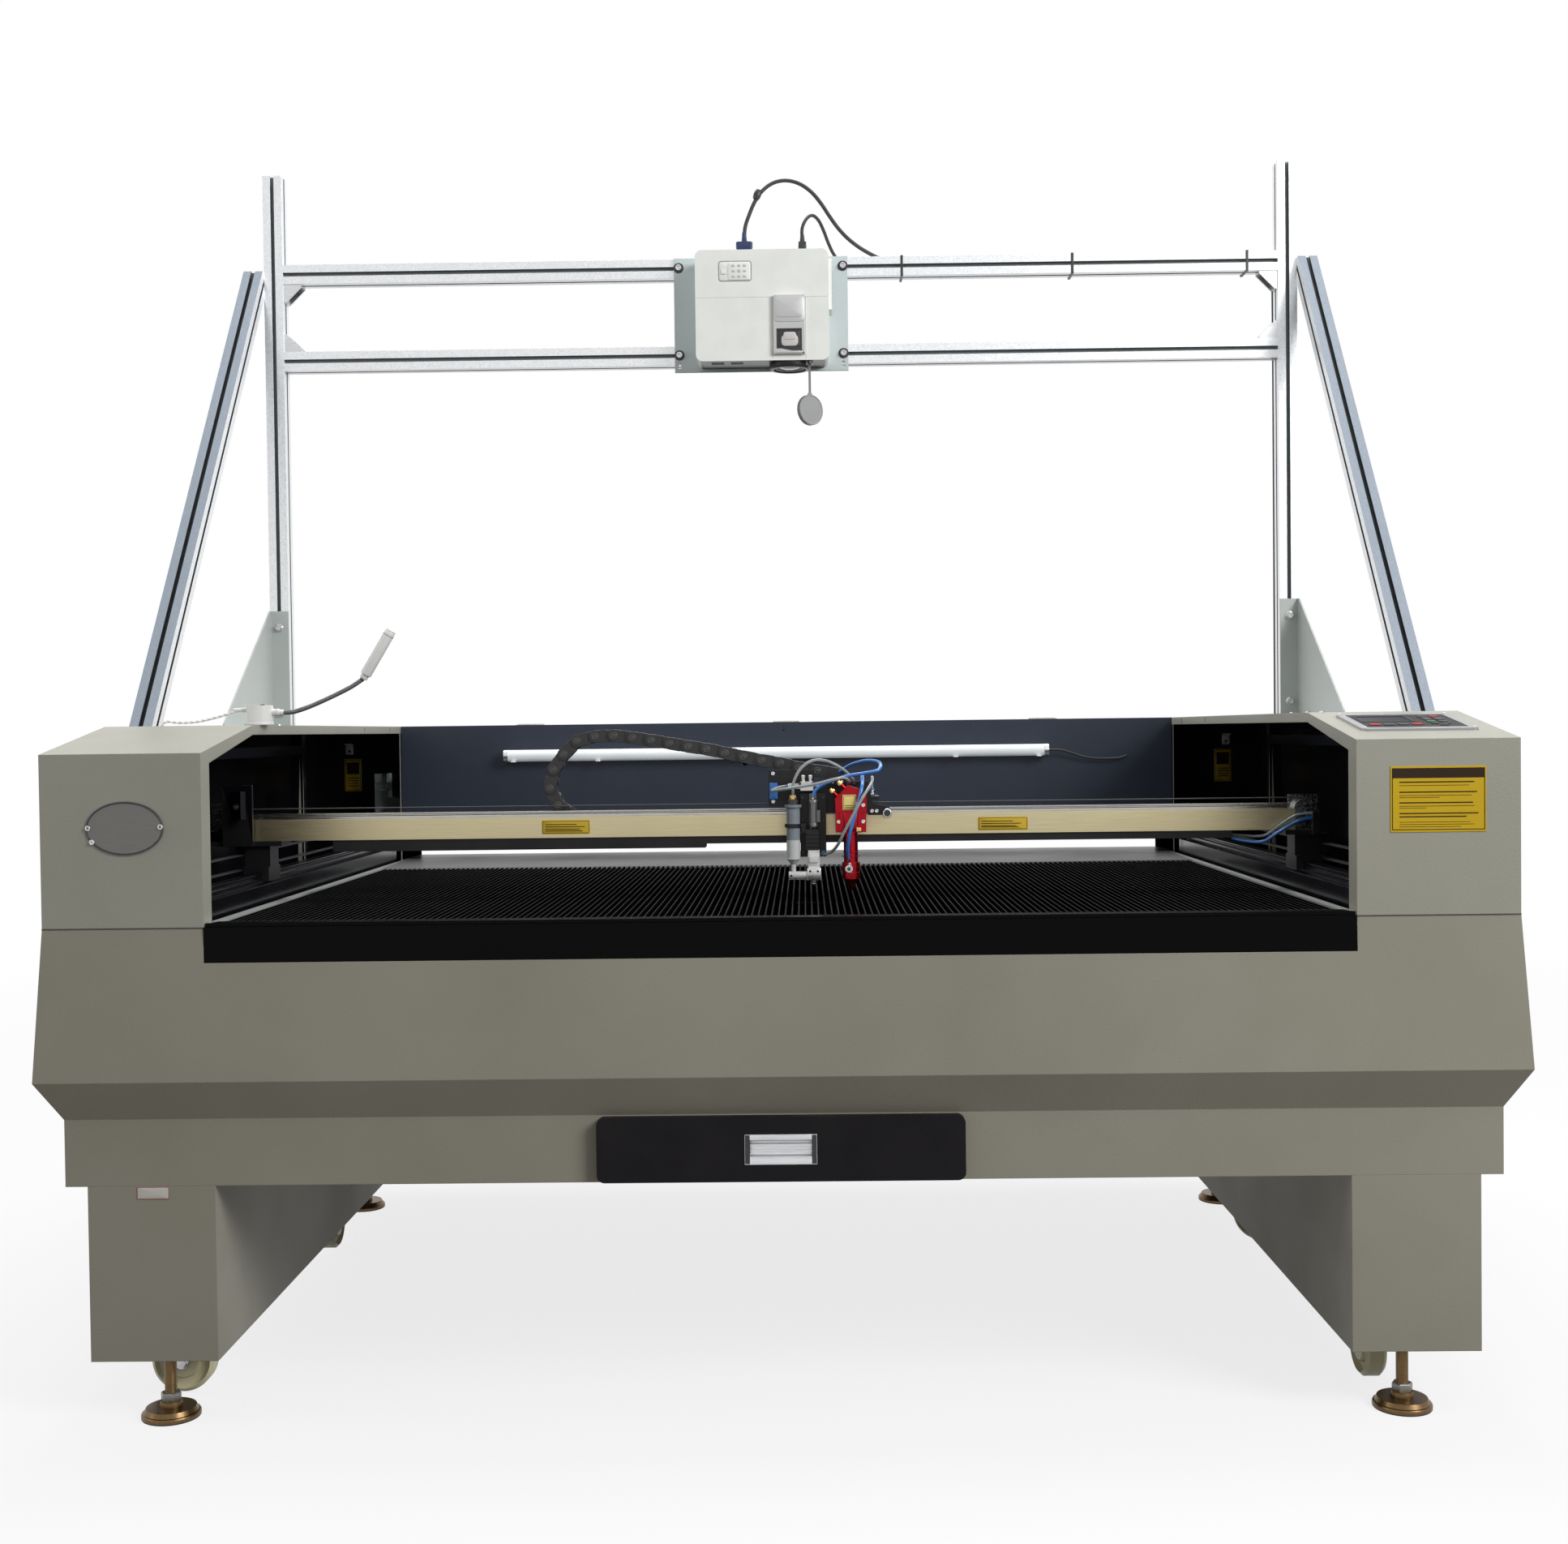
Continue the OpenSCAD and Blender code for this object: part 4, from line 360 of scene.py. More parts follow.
def powder_group():
    """Orange peel in the normal, slow waves in the tone, and the edges painted a little brighter, a painted
    highlight.
    """
    tree, take, give, place = surface_group("powder_coat", ("Peel", "Float", 0.3),
                                            ("Roughness", "Float", 0.42))
    peel = noise(tree, place, 420.0, 2.0)
    wave = noise(tree, place, 3.1, 3.0, 0.55)
    darker = tinted(tree, take["Colour"], (0.9, 0.895, 0.88))
    tone = blended(tree, spread(tree, wave, 0.35, 0.68), take["Colour"], darker)
    # painted highlight: the rounded edges are made brighter in colour
    edge = calc(tree, "MULTIPLY", take["Edge"], 0.35)
    colour = blended(tree, edge, tone, tinted(tree, tone, (1.16, 1.16, 1.14)))
    close_group(tree, take, give, colour, spread(tree, wave, 0.3, 0.7, -0.05, 0.06), take["Peel"],
                0.0006, peel)


def metal_group():
    """Streaks drawn out in one direction, wide smears, and the edges painted brighter, a painted highlight.
    """
    tree, take, give, place = surface_group("brushed_metal", ("Along", "Vector", (1.0, 40.0, 40.0)),
                                            ("Depth", "Float", 0.25), ("Roughness", "Float", 0.3))
    drawn = add(tree, "VectorMath", {0: place, 1: take["Along"]}, operation="MULTIPLY").outputs["Vector"]
    streak = noise(tree, drawn, 26.0, 4.0, 0.7)
    smear = noise(tree, place, 9.0, 3.0)
    dim = tinted(tree, take["Colour"], (0.74, 0.74, 0.76))
    tone = blended(tree, spread(tree, streak, 0.3, 0.7), dim, take["Colour"])
    tone = blended(tree, spread(tree, smear, 0.52, 0.75, 0.0, 0.25), tone, dim)
    # painted highlight: the rounded edges are made brighter in colour
    lit = tinted(tree, take["Colour"], (1.25, 1.25, 1.25))
    colour = blended(tree, calc(tree, "MULTIPLY", take["Edge"], 0.5), tone, lit)
    close_group(tree, take, give, colour, spread(tree, streak, 0.25, 0.75, -0.08, 0.1), take["Depth"],
                0.0003, streak)


def plastic_group():
    """A fine grain in the normal, and a slow flow in the tone."""
    tree, take, give, place = surface_group("moulded_skin", ("Size", "Float", 900.0),
                                            ("Depth", "Float", 0.2), ("Roughness", "Float", 0.45))
    grain = noise(tree, place, take["Size"], 3.0)
    flow = noise(tree, place, 21.0, 2.0)
    dim = tinted(tree, take["Colour"], (0.95, 0.95, 0.955))
    colour = blended(tree, spread(tree, flow, 0.4, 0.7), take["Colour"], dim)
    close_group(tree, take, give, colour, spread(tree, grain, 0.3, 0.7, -0.07, 0.07), take["Depth"],
                0.0004, grain)


powder_group()
metal_group()
plastic_group()
print("effect groups:", sorted(g.name for g in bpy.data.node_groups))

# %% [markdown]
# Three kinds of finish cover nearly the whole machine: a coated sheet, a bare metal and a moulded
# plastic. Each function below builds one material from the groups. Numbers that are the same all
# over, such as metal or the clear coat's roughness, sit on the shader's own sockets.

# %% Finishes for sheet, metal and plastic
def start_finish(name, radius):
    """A new material with its shader and the rounded-edge group, ready for a surface effect."""
    made = bpy.data.materials.new(name)
    made.use_nodes = True
    tree = made.node_tree
    shader = tree.nodes["Principled BSDF"]
    edges = add(tree, "Group", node_tree=bpy.data.node_groups["rounded_edges"])
    edges.inputs["Radius"].default_value = radius
    return made, tree, shader, edges.outputs


def set_shader(shader, **constants):
    """Constants on the shader's own sockets; underscores stand for spaces."""
    for name, value in constants.items():
        shader.inputs[name.replace("_", " ")].default_value = value


def surfaced(name, group, colour, dust, radius, amounts, constants):
    """One material: rounded edges, one of the surface groups with its amounts, dust, and then the
    constants on the shader itself."""
    made, tree, shader, edge = start_finish(name, radius)
    skin = add(tree, "Group", {"Colour": (*colour, 1), "Normal": edge["Normal"], "Edge": edge["Edge"],
                               **amounts}, node_tree=bpy.data.node_groups[group]).outputs
    film = add(tree, "Group", {"Colour": skin["Colour"], "Amount": dust},
               node_tree=bpy.data.node_groups["settled_dust"]).outputs
    for title, socket in (("Base Color", film["Colour"]), ("Roughness", skin["Roughness"]),
                          ("Normal", skin["Normal"])):
        tree.links.new(socket, shader.inputs[title])
    set_shader(shader, **constants)
    return made


def coated(name, colour, roughness=0.42, peel=0.3, dust=0.12, radius=0.0015, **constants):
    """Powder coat or paint on sheet: peel skin, soft edges painted a little brighter as a highlight, a little
    settled dust.
    """
    return surfaced(name, "powder_coat", colour, dust, radius, {"Peel": peel, "Roughness": roughness},
                    constants)


def bare_metal(name, colour, roughness=0.3, along=(1, 40, 40), depth=0.25, dust=0.0, radius=0.0006,
               **constants):
    """Brushed, turned or drawn metal: along holds how finely the streaks repeat on X, Y and Z."""
    return surfaced(name, "brushed_metal", colour, dust, radius,
                    {"Along": along, "Depth": depth, "Roughness": roughness},
                    {"Metallic": 1.0, **constants})


def moulded(name, colour, roughness=0.45, size=900.0, depth=0.2, dust=0.05, radius=0.0006, **constants):
    """Plastic or rubber with a fine grain."""
    return surfaced(name, "moulded_skin", colour, dust, radius,
                    {"Size": size, "Depth": depth, "Roughness": roughness}, constants)


# %% The finishes themselves
putty = coated("putty_powder_coat", (0.325, 0.32, 0.27), 0.40, 0.5)
putty_low = coated("putty_powder_coat_low", (0.31, 0.298, 0.245), 0.5, 0.4, 0.06, Specular_IOR_Level=0.15)
drawer_black = coated("black_textured_coat", (0.0065, 0.0055, 0.0075), 0.55, 0.8, 0.05,
                      Specular_IOR_Level=0.12)
machine_black = coated("black_satin_coat", (0.008, 0.008, 0.009), 0.36, 0.2, 0.08, 0.0006,
                       Specular_IOR_Level=0.25)
bar_black = coated("black_bar_coat", (0.002, 0.0018, 0.0018), 0.24, 0.08, 0.003, Specular_IOR_Level=0.05)
# Near black for inner faces: partly the dark glossy sheet beside the bed, partly painted shade under the
# housings' roofs.
inner_dark_and_shade = coated("inner_wall_dark_and_painted_shade", (0.004, 0.004, 0.006), 0.2, 0.1, 0.0, Specular_IOR_Level=0.15)
navy = coated("navy_back_wall", (0.032, 0.041, 0.064), 0.32, 0.2, 0.04, Specular_IOR_Level=0.3)
border_white = coated("pale_bed_border", (0.34, 0.36, 0.34), 0.35, 0.15, 0.05)
rear_grey = coated("grey_rear_border", (0.16, 0.16, 0.16), 0.35, 0.15, 0.05)
blade_gloss = coated("blade_gloss_black", (0.0025, 0.0025, 0.003), 0.3, 0.05, 0.0, 0.0002,
                     Specular_IOR_Level=0.0005)
# painted highlight: a paler black for the light on the blades' front ends
blade_end_highlight = coated("blade_end_painted_highlight", (0.035, 0.035, 0.034), 0.5, 0.05, 0.0, 0.0002,
                    Specular_IOR_Level=0.05)
gold_beam = bare_metal("gold_anodised_beam", (0.62, 0.54, 0.33), 0.34, (0.6, 60, 60), 0.2, 0.02)
mill_metal = bare_metal("brushed_aluminium", (0.72, 0.73, 0.74), 0.32, (1, 30, 30), 0.2)
profile_metal = bare_metal("bright_profile", (0.95, 0.97, 0.98), 0.34, (14, 14, 14), 0.03, 0.0,
                           Metallic=0.65)
# painted shade: the slots' insides are darker than the profile, and darkest on the struts
profile_groove_shade = bare_metal("profile_groove_shade", (0.30, 0.33, 0.34), 0.5, (14, 14, 14), 0.05, Metallic=0.2)
strut_groove_shade = bare_metal("strut_groove_shade", (0.05, 0.055, 0.062), 0.5, (14, 14, 14), 0.05, Metallic=0.3)
# painted shade: the struts are the posts' aluminium, painted as a darker, bluer copy of it
strut_shaded_copy = bare_metal("strut_profile_shaded", (0.33, 0.38, 0.44), 0.4, (14, 14, 14), 0.04, 0.0, Metallic=0.35)
zinc_yellow = bare_metal("yellow_zinc", (0.17, 0.105, 0.045), 0.32, (8, 8, 8), 0.15, 0.05, Metallic=0.85)
bright_steel = bare_metal("bright_steel", (0.62, 0.62, 0.62), 0.25, (9, 9, 9), 0.1)
dark_steel = bare_metal("dark_bolt_steel", (0.06, 0.06, 0.062), 0.4, (9, 9, 9), 0.2, Metallic=0.8)
brass = bare_metal("brass", (0.72, 0.52, 0.22), 0.28, (12, 12, 12), 0.1)
red_metal = bare_metal("red_anodised", (0.38, 0.010, 0.018), 0.26, (4, 4, 30), 0.15, Metallic=0.9)
nylon = moulded("cream_nylon", (0.70, 0.66, 0.44), 0.45, 600, 0.2, 0.05)
cylinder_grey = bare_metal("grey_cylinder", (0.16, 0.17, 0.165), 0.35, (20, 20, 2), 0.1, Metallic=0.5)
display_dark = coated("matt_display", (0.022, 0.022, 0.028), 0.4, 0.02, 0.0, 0.0003,
                      Specular_IOR_Level=0.06)
rubber = moulded("black_rubber", (0.022, 0.022, 0.023), 0.6, 700, 0.3, 0.1)
black_plastic = moulded("black_plastic", (0.02, 0.02, 0.021), 0.38, 900, 0.25, 0.1)
white_plastic = moulded("white_plastic", (0.84, 0.84, 0.82), 0.35, 900, 0.15, 0.02)
grey_plastic = moulded("grey_plastic", (0.26, 0.27, 0.28), 0.5, 800, 0.25, 0.05)
pale_plastic = moulded("pale_projector_shell", (0.95, 0.97, 0.93), 0.36, 1400, 0.06, 0.0)
blue_tube = moulded("blue_polyurethane", (0.03, 0.20, 0.62), 0.18, 300, 0.05, 0.0, Coat_Weight=0.4)
oval_plate = bare_metal("bare_oval_plate", (0.185, 0.182, 0.17), 0.45, (1, 60, 60), 0.3, 0.05,
                        Metallic=0.4)
warm_plate = coated("yellow_marker_plate", (0.60, 0.40, 0.012), 0.5, 0.05, 0.0, 0.0004,
                    Specular_IOR_Level=0.2)
rail_steel = bare_metal("polished_rail", (0.50, 0.49, 0.46), 0.22, (0.5, 8, 8), 0.05)
pale_metal = bare_metal("satin_nickel", (0.62, 0.62, 0.6), 0.3, (9, 9, 9), 0.1)
gold_plate = bare_metal("bare_gold_plate", (0.75, 0.60, 0.22), 0.3, (30, 3, 30), 0.2, Metallic=0.8)
tip_metal = bare_metal("nozzle_tip", (0.42, 0.05, 0.045), 0.3, (9, 9, 30), 0.15)
hood_silver = coated("silver_hood_paint", (0.62, 0.62, 0.63), 0.35, 0.05, 0.0, 0.0006, Metallic=0.25)
# Lens ring black, also used as painted shade on the projector's underside
ring_black_and_underside_shade = moulded("lens_ring_and_underside_shade", (0.02, 0.022, 0.025), 0.3, 900, 0.1, 0.0)
fork_zinc = bare_metal("fork_dull_zinc", (0.30, 0.29, 0.26), 0.42, (9, 9, 9), 0.2, 0.15, Metallic=0.7)
gusset_paint = coated("pale_corner_plate", (0.50, 0.54, 0.53), 0.38, 0.3, 0.1)
blue_fitting = moulded("blue_fitting", (0.03, 0.16, 0.5), 0.35, 900, 0.1, 0.0)
plug_navy = moulded("navy_plug", (0.02, 0.03, 0.10), 0.4, 900, 0.15, 0.0)
goose_grey = moulded("grey_gooseneck", (0.12, 0.125, 0.135), 0.4, 700, 0.2, 0.0)
panel_film = coated("membrane_film", (0.030, 0.030, 0.032), 0.5, 0.1, 0.0, 0.0003,
                    Specular_IOR_Level=0.08)
panel_frame = bare_metal("panel_frame_metal", (0.45, 0.46, 0.46), 0.35, (30, 3, 30), 0.15, 0.03)
syringe_fill = moulded("white_marking_fluid", (0.78, 0.79, 0.79), 0.4, 500, 0.05, 0.0)
hopper_dark = coated("dark_hopper", (0.010, 0.010, 0.011), 0.6, 0.2, 0.0, Specular_IOR_Level=0.08)
print_brown = coated("dark_print", (0.035, 0.02, 0.012), 0.6, 0.05, 0.0, 0.0002, Specular_IOR_Level=0.1)
bright_plate = coated("bright_yellow_plate", (0.62, 0.42, 0.02), 0.4, 0.1, 0.0, 0.0003)
joint_dark = coated("dark_joint", (0.05, 0.048, 0.042), 0.6, 0.1, 0.1, 0.0003)
paper = coated("blank_paper", (0.62, 0.60, 0.56), 0.7, 0.1, 0.1, 0.0003)
tag_red = coated("red_edge", (0.35, 0.06, 0.05), 0.6, 0.1, 0.0, 0.0003)
# painted highlight: a paler black for the line of light along each blade's top
blade_top_highlight = coated("blade_top_painted_highlight", (0.055, 0.055, 0.053), 0.5, 0.05, 0.0, 0.0002,
                    Specular_IOR_Level=0.05)
carrier_black = moulded("carrier_black", (0.02, 0.02, 0.021), 0.42, 900, 0.25, 0.06,
                        Specular_IOR_Level=0.4)
carrier_pin = moulded("carrier_eye", (0.045, 0.045, 0.046), 0.4, 900, 0.2, 0.05)
seam_grey = moulded("shell_seam", (0.36, 0.38, 0.38), 0.5, 900, 0.1, 0.0)
pearl = coated("pearl_lens_block", (0.74, 0.70, 0.69), 0.2, 0.05, 0.0, 0.0006, Coat_Weight=0.5)
cap_clear = coated("smoked_cap", (0.36, 0.37, 0.37), 0.22, 0.05, 0.02, 0.0008, Coat_Weight=0.6)
key_grey = moulded("grey_key", (0.075, 0.08, 0.08), 0.5, 900, 0.1, 0.0, Specular_IOR_Level=0.1)
key_pale = moulded("pale_key", (0.60, 0.62, 0.61), 0.4, 900, 0.05, 0.0)
slit_dark = moulded("vent_slit", (0.03, 0.03, 0.03), 0.6, 900, 0.1, 0.0, Specular_IOR_Level=0.1)
print("finishes:", len(bpy.data.materials))

# %% Clear finishes, and the tube's painted glow
def clear(name, colour, roughness=0.05, ior=1.45, transmission=0.9, fluid_top=0.0):
    """Clear plastic or glass with a trace of uneven colour. Below fluid_top, in metres, the wall
    shows the white fluid that stands behind it."""
    made, tree, shader, edge = start_finish(name, 0.0003)
    place = add(tree, "TexCoord").outputs["Object"]
    haze = noise(tree, place, 60.0, 2.0)
    dim = tuple(c * 0.9 for c in colour)
    tone = blended(tree, spread(tree, haze, 0.4, 0.7), (*colour, 1), (*dim, 1))
    if fluid_top:
        height = add(tree, "SeparateXYZ", {0: place}).outputs["Z"]
        tone = blended(tree, spread(tree, height, fluid_top, fluid_top + 0.001), (0.74, 0.76, 0.76, 1),
                       tone)
    tree.links.new(tone, shader.inputs["Base Color"])
    tree.links.new(spread(tree, haze, 0.3, 0.7, roughness, roughness + 0.08), shader.inputs["Roughness"])
    tree.links.new(edge["Normal"], shader.inputs["Normal"])
    set_shader(shader, IOR=ior, Transmission_Weight=transmission)
    return made


clear_tube = clear("clear_polyurethane", (0.42, 0.45, 0.46), 0.12, 1.4, 0.35)
clear_syringe = clear("clear_syringe", (0.30, 0.35, 0.39), 0.1, 1.4, 0.3, 0.867)
laser_glass = clear("laser_glass", (0.85, 0.92, 0.95), 0.02)
# painted glow: the tube is not switched on; its faint emission evens out its shading
opal = moulded("opal_tube_painted_glow", (0.90, 0.94, 0.96), 0.55, 400, 0.02, 0.0, Emission_Color=(0.85, 0.93, 1, 1),
               Emission_Strength=0.12)
dark_glass = coated("dark_display", (0.010, 0.012, 0.016), 0.1, 0.0, 0.02, 0.0003, Coat_Weight=0.5)
lens_glass = coated("lens_glass", (0.02, 0.022, 0.035), 0.05, 0.0, 0.0, 0.0003, Coat_Weight=1.0)
key_red = moulded("red_key", (0.42, 0.03, 0.04), 0.5, 900, 0.1, 0.0, Specular_IOR_Level=0.1)
key_green = moulded("green_key", (0.05, 0.18, 0.09), 0.5, 900, 0.1, 0.0, Specular_IOR_Level=0.1)
print("finishes with the clear ones:", len(bpy.data.materials))

# %% [markdown]
# A CAD piece arrives as one mesh, but the real one may carry several finishes: the side housings
# are putty outside, and inside they are near black, partly dark sheet and partly painted shade
# under their roofs. A finish is chosen face by face, from each face's middle and the way it looks,
# so no geometry changes.

# %% Dress the CAD pieces
def dress(node, finish, *others):
    """Gives a CAD piece its finish. others are (finish, rule): rule gets the faces' middles in mm
    from the fronts, (3, n), and their normals, (3, n), and answers which faces change."""
    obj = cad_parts[node]
    mesh = obj.data
    middle = np.empty(len(mesh.polygons) * 3, np.float32)
    normal = np.empty(len(mesh.polygons) * 3, np.float32)
    mesh.polygons.foreach_get("center", middle)
    mesh.polygons.foreach_get("normal", normal)
    middle = (middle.reshape(-1, 3) - [0, front, 0]) * 1000
    which = np.zeros(len(middle), np.int32)
    mesh.materials.clear()
    mesh.materials.append(finish)
    for k, (other, rule) in enumerate(others):
        mesh.materials.append(other)
        which[rule(middle.T, normal.reshape(-1, 3).T)] = k + 1
    mesh.polygons.foreach_set("material_index", which)
    mesh.update()


def inward(c, n, side):
    """The faces of a side housing that look into it: its outer wall, front and roof, from inside."""
    deep = np.abs(c[0]) > 875
    return deep & ((n[0] * side > 0.5) | ((n[1] > 0.5) & (c[1] < 10))
                   | ((n[2] < -0.3) & (c[2] > 1000)) | ((n[1] < -0.5) & (c[1] > 1500)))


def within(c, low, high):
    """Which middles lie in a box, in mm."""
    return np.all((c > np.array(low)[:, None]) & (c < np.array(high)[:, None]), axis=0)


def near(c, x, z, r):
    """Which middles lie less than r from a line along Y, in mm."""
    return np.hypot(c[0] - x, c[2] - z) < r


def boxed(low, high):
    """The rule that takes the faces in a box."""
    return lambda c, n: within(c, low, high)


for finish, nodes in ((putty_low, "front_panel floor_pan pedestals"), (rubber, "x_belt y_belts"),
                      (bright_steel, "x_pulley y_drive_shaft"), (putty, "rear_lid"),
                      (mill_metal, "drawer_tray electronics"), (bar_black, "front_bar"),
                      (blade_gloss, "blade_table"), (navy, "back_wall"), (hopper_dark, "scrap_hopper"),
                      (laser_glass, "laser_tube"), (machine_black, "beam_trays"),
                      (grey_plastic, "lens_cap"), (white_plastic, "lamp_base"),
                      (black_plastic, "lamp_rocker cable_carrier"),
                      (fork_zinc, "fork_front_left fork_front_right fork_rear_left fork_rear_right"),
                      (nylon, "wheel_front_left wheel_front_right wheel_rear_left wheel_rear_right")):
    for node in nodes.split():
        dress(node, finish)
dress("side_panels", putty_low, (inner_dark_and_shade, lambda c, n: (n[0] * np.sign(c[0]) < -0.5) & (c[2] > 500)))
dress("rear_panel", putty_low, (inner_dark_and_shade, lambda c, n: (n[1] < -0.5) & (c[2] > 500)))
dress("base_frame", putty_low, (inner_dark_and_shade, lambda c, n: c[2] > 640),
      (border_white, lambda c, n: (c[2] > 845) & (c[1] > 1200)))
# painted shade: the faces inside the housings are near black, for the shade under their roofs
for node, side in (("housing_left", 1), ("housing_right", -1)):
    dress(node, putty, (inner_dark_and_shade, lambda c, n, s=side: inward(c, n, s)))
dress("drawer_front", drawer_black, (mill_metal, lambda c, n: (np.abs(c[0]) < 54.9) & (c[1] < 40)
                                     & (np.abs(c[2] - 418.5) < 22.9)))
dress("bed_border", bar_black, (border_white, lambda c, n: (c[1] > 120) & (c[1] < 1150)),
      (rear_grey, lambda c, n: c[1] > 1150))
dress("light_tube", mill_metal, (opal, lambda c, n: (np.abs(c[0] + 22) < 599.5) & (c[1] < 1374.8)))
dress("levelling_feet", zinc_yellow, (rubber, lambda c, n: c[2] < 7.9))
dress("gantry_beam", gold_beam, (rail_steel, lambda c, n: c[2] > 908.5))
# painted shade: the left mount's part inside the housing is near black
dress("gantry_mounts", machine_black,
      (inner_dark_and_shade, boxed((-1010, 345, 920), (-850, 384, 1020))),
      (bright_steel, boxed((880, 400, 880), (960, 470, 960))))
dress("dispenser_slide", machine_black,
      (cylinder_grey, boxed((40, 330, 885), (72, 365.9, 940))),
      (blue_tube, boxed((68, 360, 838), (78, 365.9, 848))))
dress("carriage_plate", machine_black,
      (pale_metal, boxed((14, 350, 948), (72, 387.9, 972))),
      (blue_fitting, boxed((137, 398, 938.1), (164, 410, 951))),
      (dark_steel, boxed((176, 380, 900), (190, 388, 916))))
dress("head_block", red_metal,
      (brass, lambda c, n: within(c, (80, 325, 938), (118, 340, 975)) & (c[0] + 959 - c[2] < 97)),
      (gold_plate, boxed((105, 316.5, 917), (129, 317.9, 943))),
      (bright_steel, lambda c, n: near(c, 140, 898, 3.2) & (c[1] > 314) & (c[1] < 327.9)
       | near(c, 99, 898, 3.2) & (c[1] < 328) | near(c, 140, 926, 3.2) & (c[1] < 317.9)))
dress("lens_tube", red_metal,
      (bright_steel, lambda c, n: (c[1] < 325.6) & near(c, 115, 819, 5.7)),
      (tip_metal, lambda c, n: (c[2] < 800.9) & (c[1] > 326)))
dress("dispenser", machine_black,
      (white_plastic, boxed((46, 330, 819.1), (67, 350, 850.1))),
      (mill_metal, lambda c, n: c[2] < 819.1))
dress("syringe", clear_syringe,
      (syringe_fill, lambda c, n: (c[2] > 835.8) & (c[2] < 864.3)
       & (np.hypot(c[0] - 22, c[1] - 340) < 10.2)),
      (black_plastic, lambda c, n: (c[2] > 926.9) & (c[2] < 935.1)),
      (brass, lambda c, n: c[2] > 935.1))


POST_X, POST_Y = 1064, 1140           # middle line of the posts, in mm
LOW_BAR_Z, HIGH_BAR_Z = 1842, 2024    # middle lines of the two crossbars
STRUT_Y, STRUT_RISE = 400, 958        # the struts' feet, and how high they reach
ROOF_Z = 1072                         # top of the housings


def in_slot(c, n):
    """Faces that lie inside a profile's slots, which get the painted groove shade: less than the profile's
    half width from its middle line, both ways. The struts lean, so their middles are turned upright first."""
    half = 19.6
    x, y, z = np.abs(c[0]), c[1], c[2]
    lean = math.atan((POST_Y - 28 - STRUT_Y) / STRUT_RISE)
    beside = (y - STRUT_Y - 20 / math.cos(lean)) * math.cos(lean) - (z - ROOF_Z) * math.sin(lean)
    post = np.maximum(np.abs(x - POST_X), np.abs(y - POST_Y))
    strut = np.maximum(np.abs(x - POST_X - 40), np.abs(beside))
    low = np.maximum(np.abs(y - POST_Y), np.abs(z - LOW_BAR_Z))
    high = np.maximum(np.abs(y - POST_Y), np.abs(z - HIGH_BAR_Z))
    side = np.abs(n[2]) < 0.9
    return (side & (x < 1085) & (x > 1043.9) & (post < half) | (x > 1083.9) & (strut < half)
            & (np.abs(n[2]) < 0.98) | (x < 1043.9) & (np.minimum(low, high) < half))


# The struts and the slots' insides take darker copies of the profile's finish, painted shade.
dress("projector_frame", profile_metal,
      (strut_shaded_copy, lambda c, n: np.abs(c[0]) > 1084.1), (profile_groove_shade, in_slot),
      (strut_groove_shade, lambda c, n: in_slot(c, n) & (np.abs(c[0]) > 1084.1)))
dress("frame_brackets", mill_metal, (gusset_paint, lambda c, n: c[2] < 1400))
dress("projector_plate", coated("projector_plate_coat", (0.62, 0.70, 0.71), 0.4, 0.2, 0.02))
# painted shade: the white shell's faces that look down take the lens ring's black
dress("projector_body", pale_plastic,
      (hood_silver, boxed((-11.1, 1015, 1822), (60, 1028.95, 1970))),
      (dark_glass, boxed((-3.1, 1020.5, 1830), (45.1, 1028, 1892))),
      (ring_black_and_underside_shade, lambda c, n: (c[2] < 1813) & (n[2] < -0.9) | (c[2] < 1811.9) & (c[0] < 54)),
      (plug_navy, lambda c, n: (c[2] > 2039.1) & (c[0] < 0)),
      (black_plastic, lambda c, n: (c[2] > 2039.1) & (c[0] > 0)))
dress("lamp_arm", goose_grey, (white_plastic, lambda c, n: c[0] > -699))
slope = math.atan2(43, 269)


def on_panel(c):
    """Points in the control panel's own frame: across, up the slope, and off the sheet, in mm."""
    y, z = c[1], c[2] - 1029
    return np.stack([c[0] - 992, y * math.cos(slope) + z * math.sin(slope) - 150,
                     z * math.cos(slope) - y * math.sin(slope)])


dress("control_panel", panel_frame,
      (panel_film, lambda c, n: within(on_panel(c), (-77.8, -62.8, 2.95), (77.8, 62.8, 9))),
      (display_dark, lambda c, n: within(on_panel(c), (-68.9, -7.9, 1.9), (8.9, 43.9, 3.65))))
dress("fasteners", bright_steel, (oval_plate, lambda c, n: (c[0] < -920) & (c[1] < 0) & (c[2] < 1000)),
      (warm_plate, lambda c, n: (c[0] > 915) & (c[1] < 0) & (c[2] < 1000)),
      (black_plastic, lambda c, n: (c[0] > 250) & (c[0] < 990) & (c[2] > 1990)),
      (putty, lambda c, n: c[1] > 1500))
print("dressed pieces:", sum(1 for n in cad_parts.values() if n.data.materials))

# %% [markdown]
# Hoses and leads
# ---------------
# A hose or lead is one length of something flexible, so each is a circle carried along one smooth
# curve from its fitting to where it ends. The curve passes through the CAD route's points, is
# spaced evenly along its length and then relaxed a little, as a real hose evens out its bends.

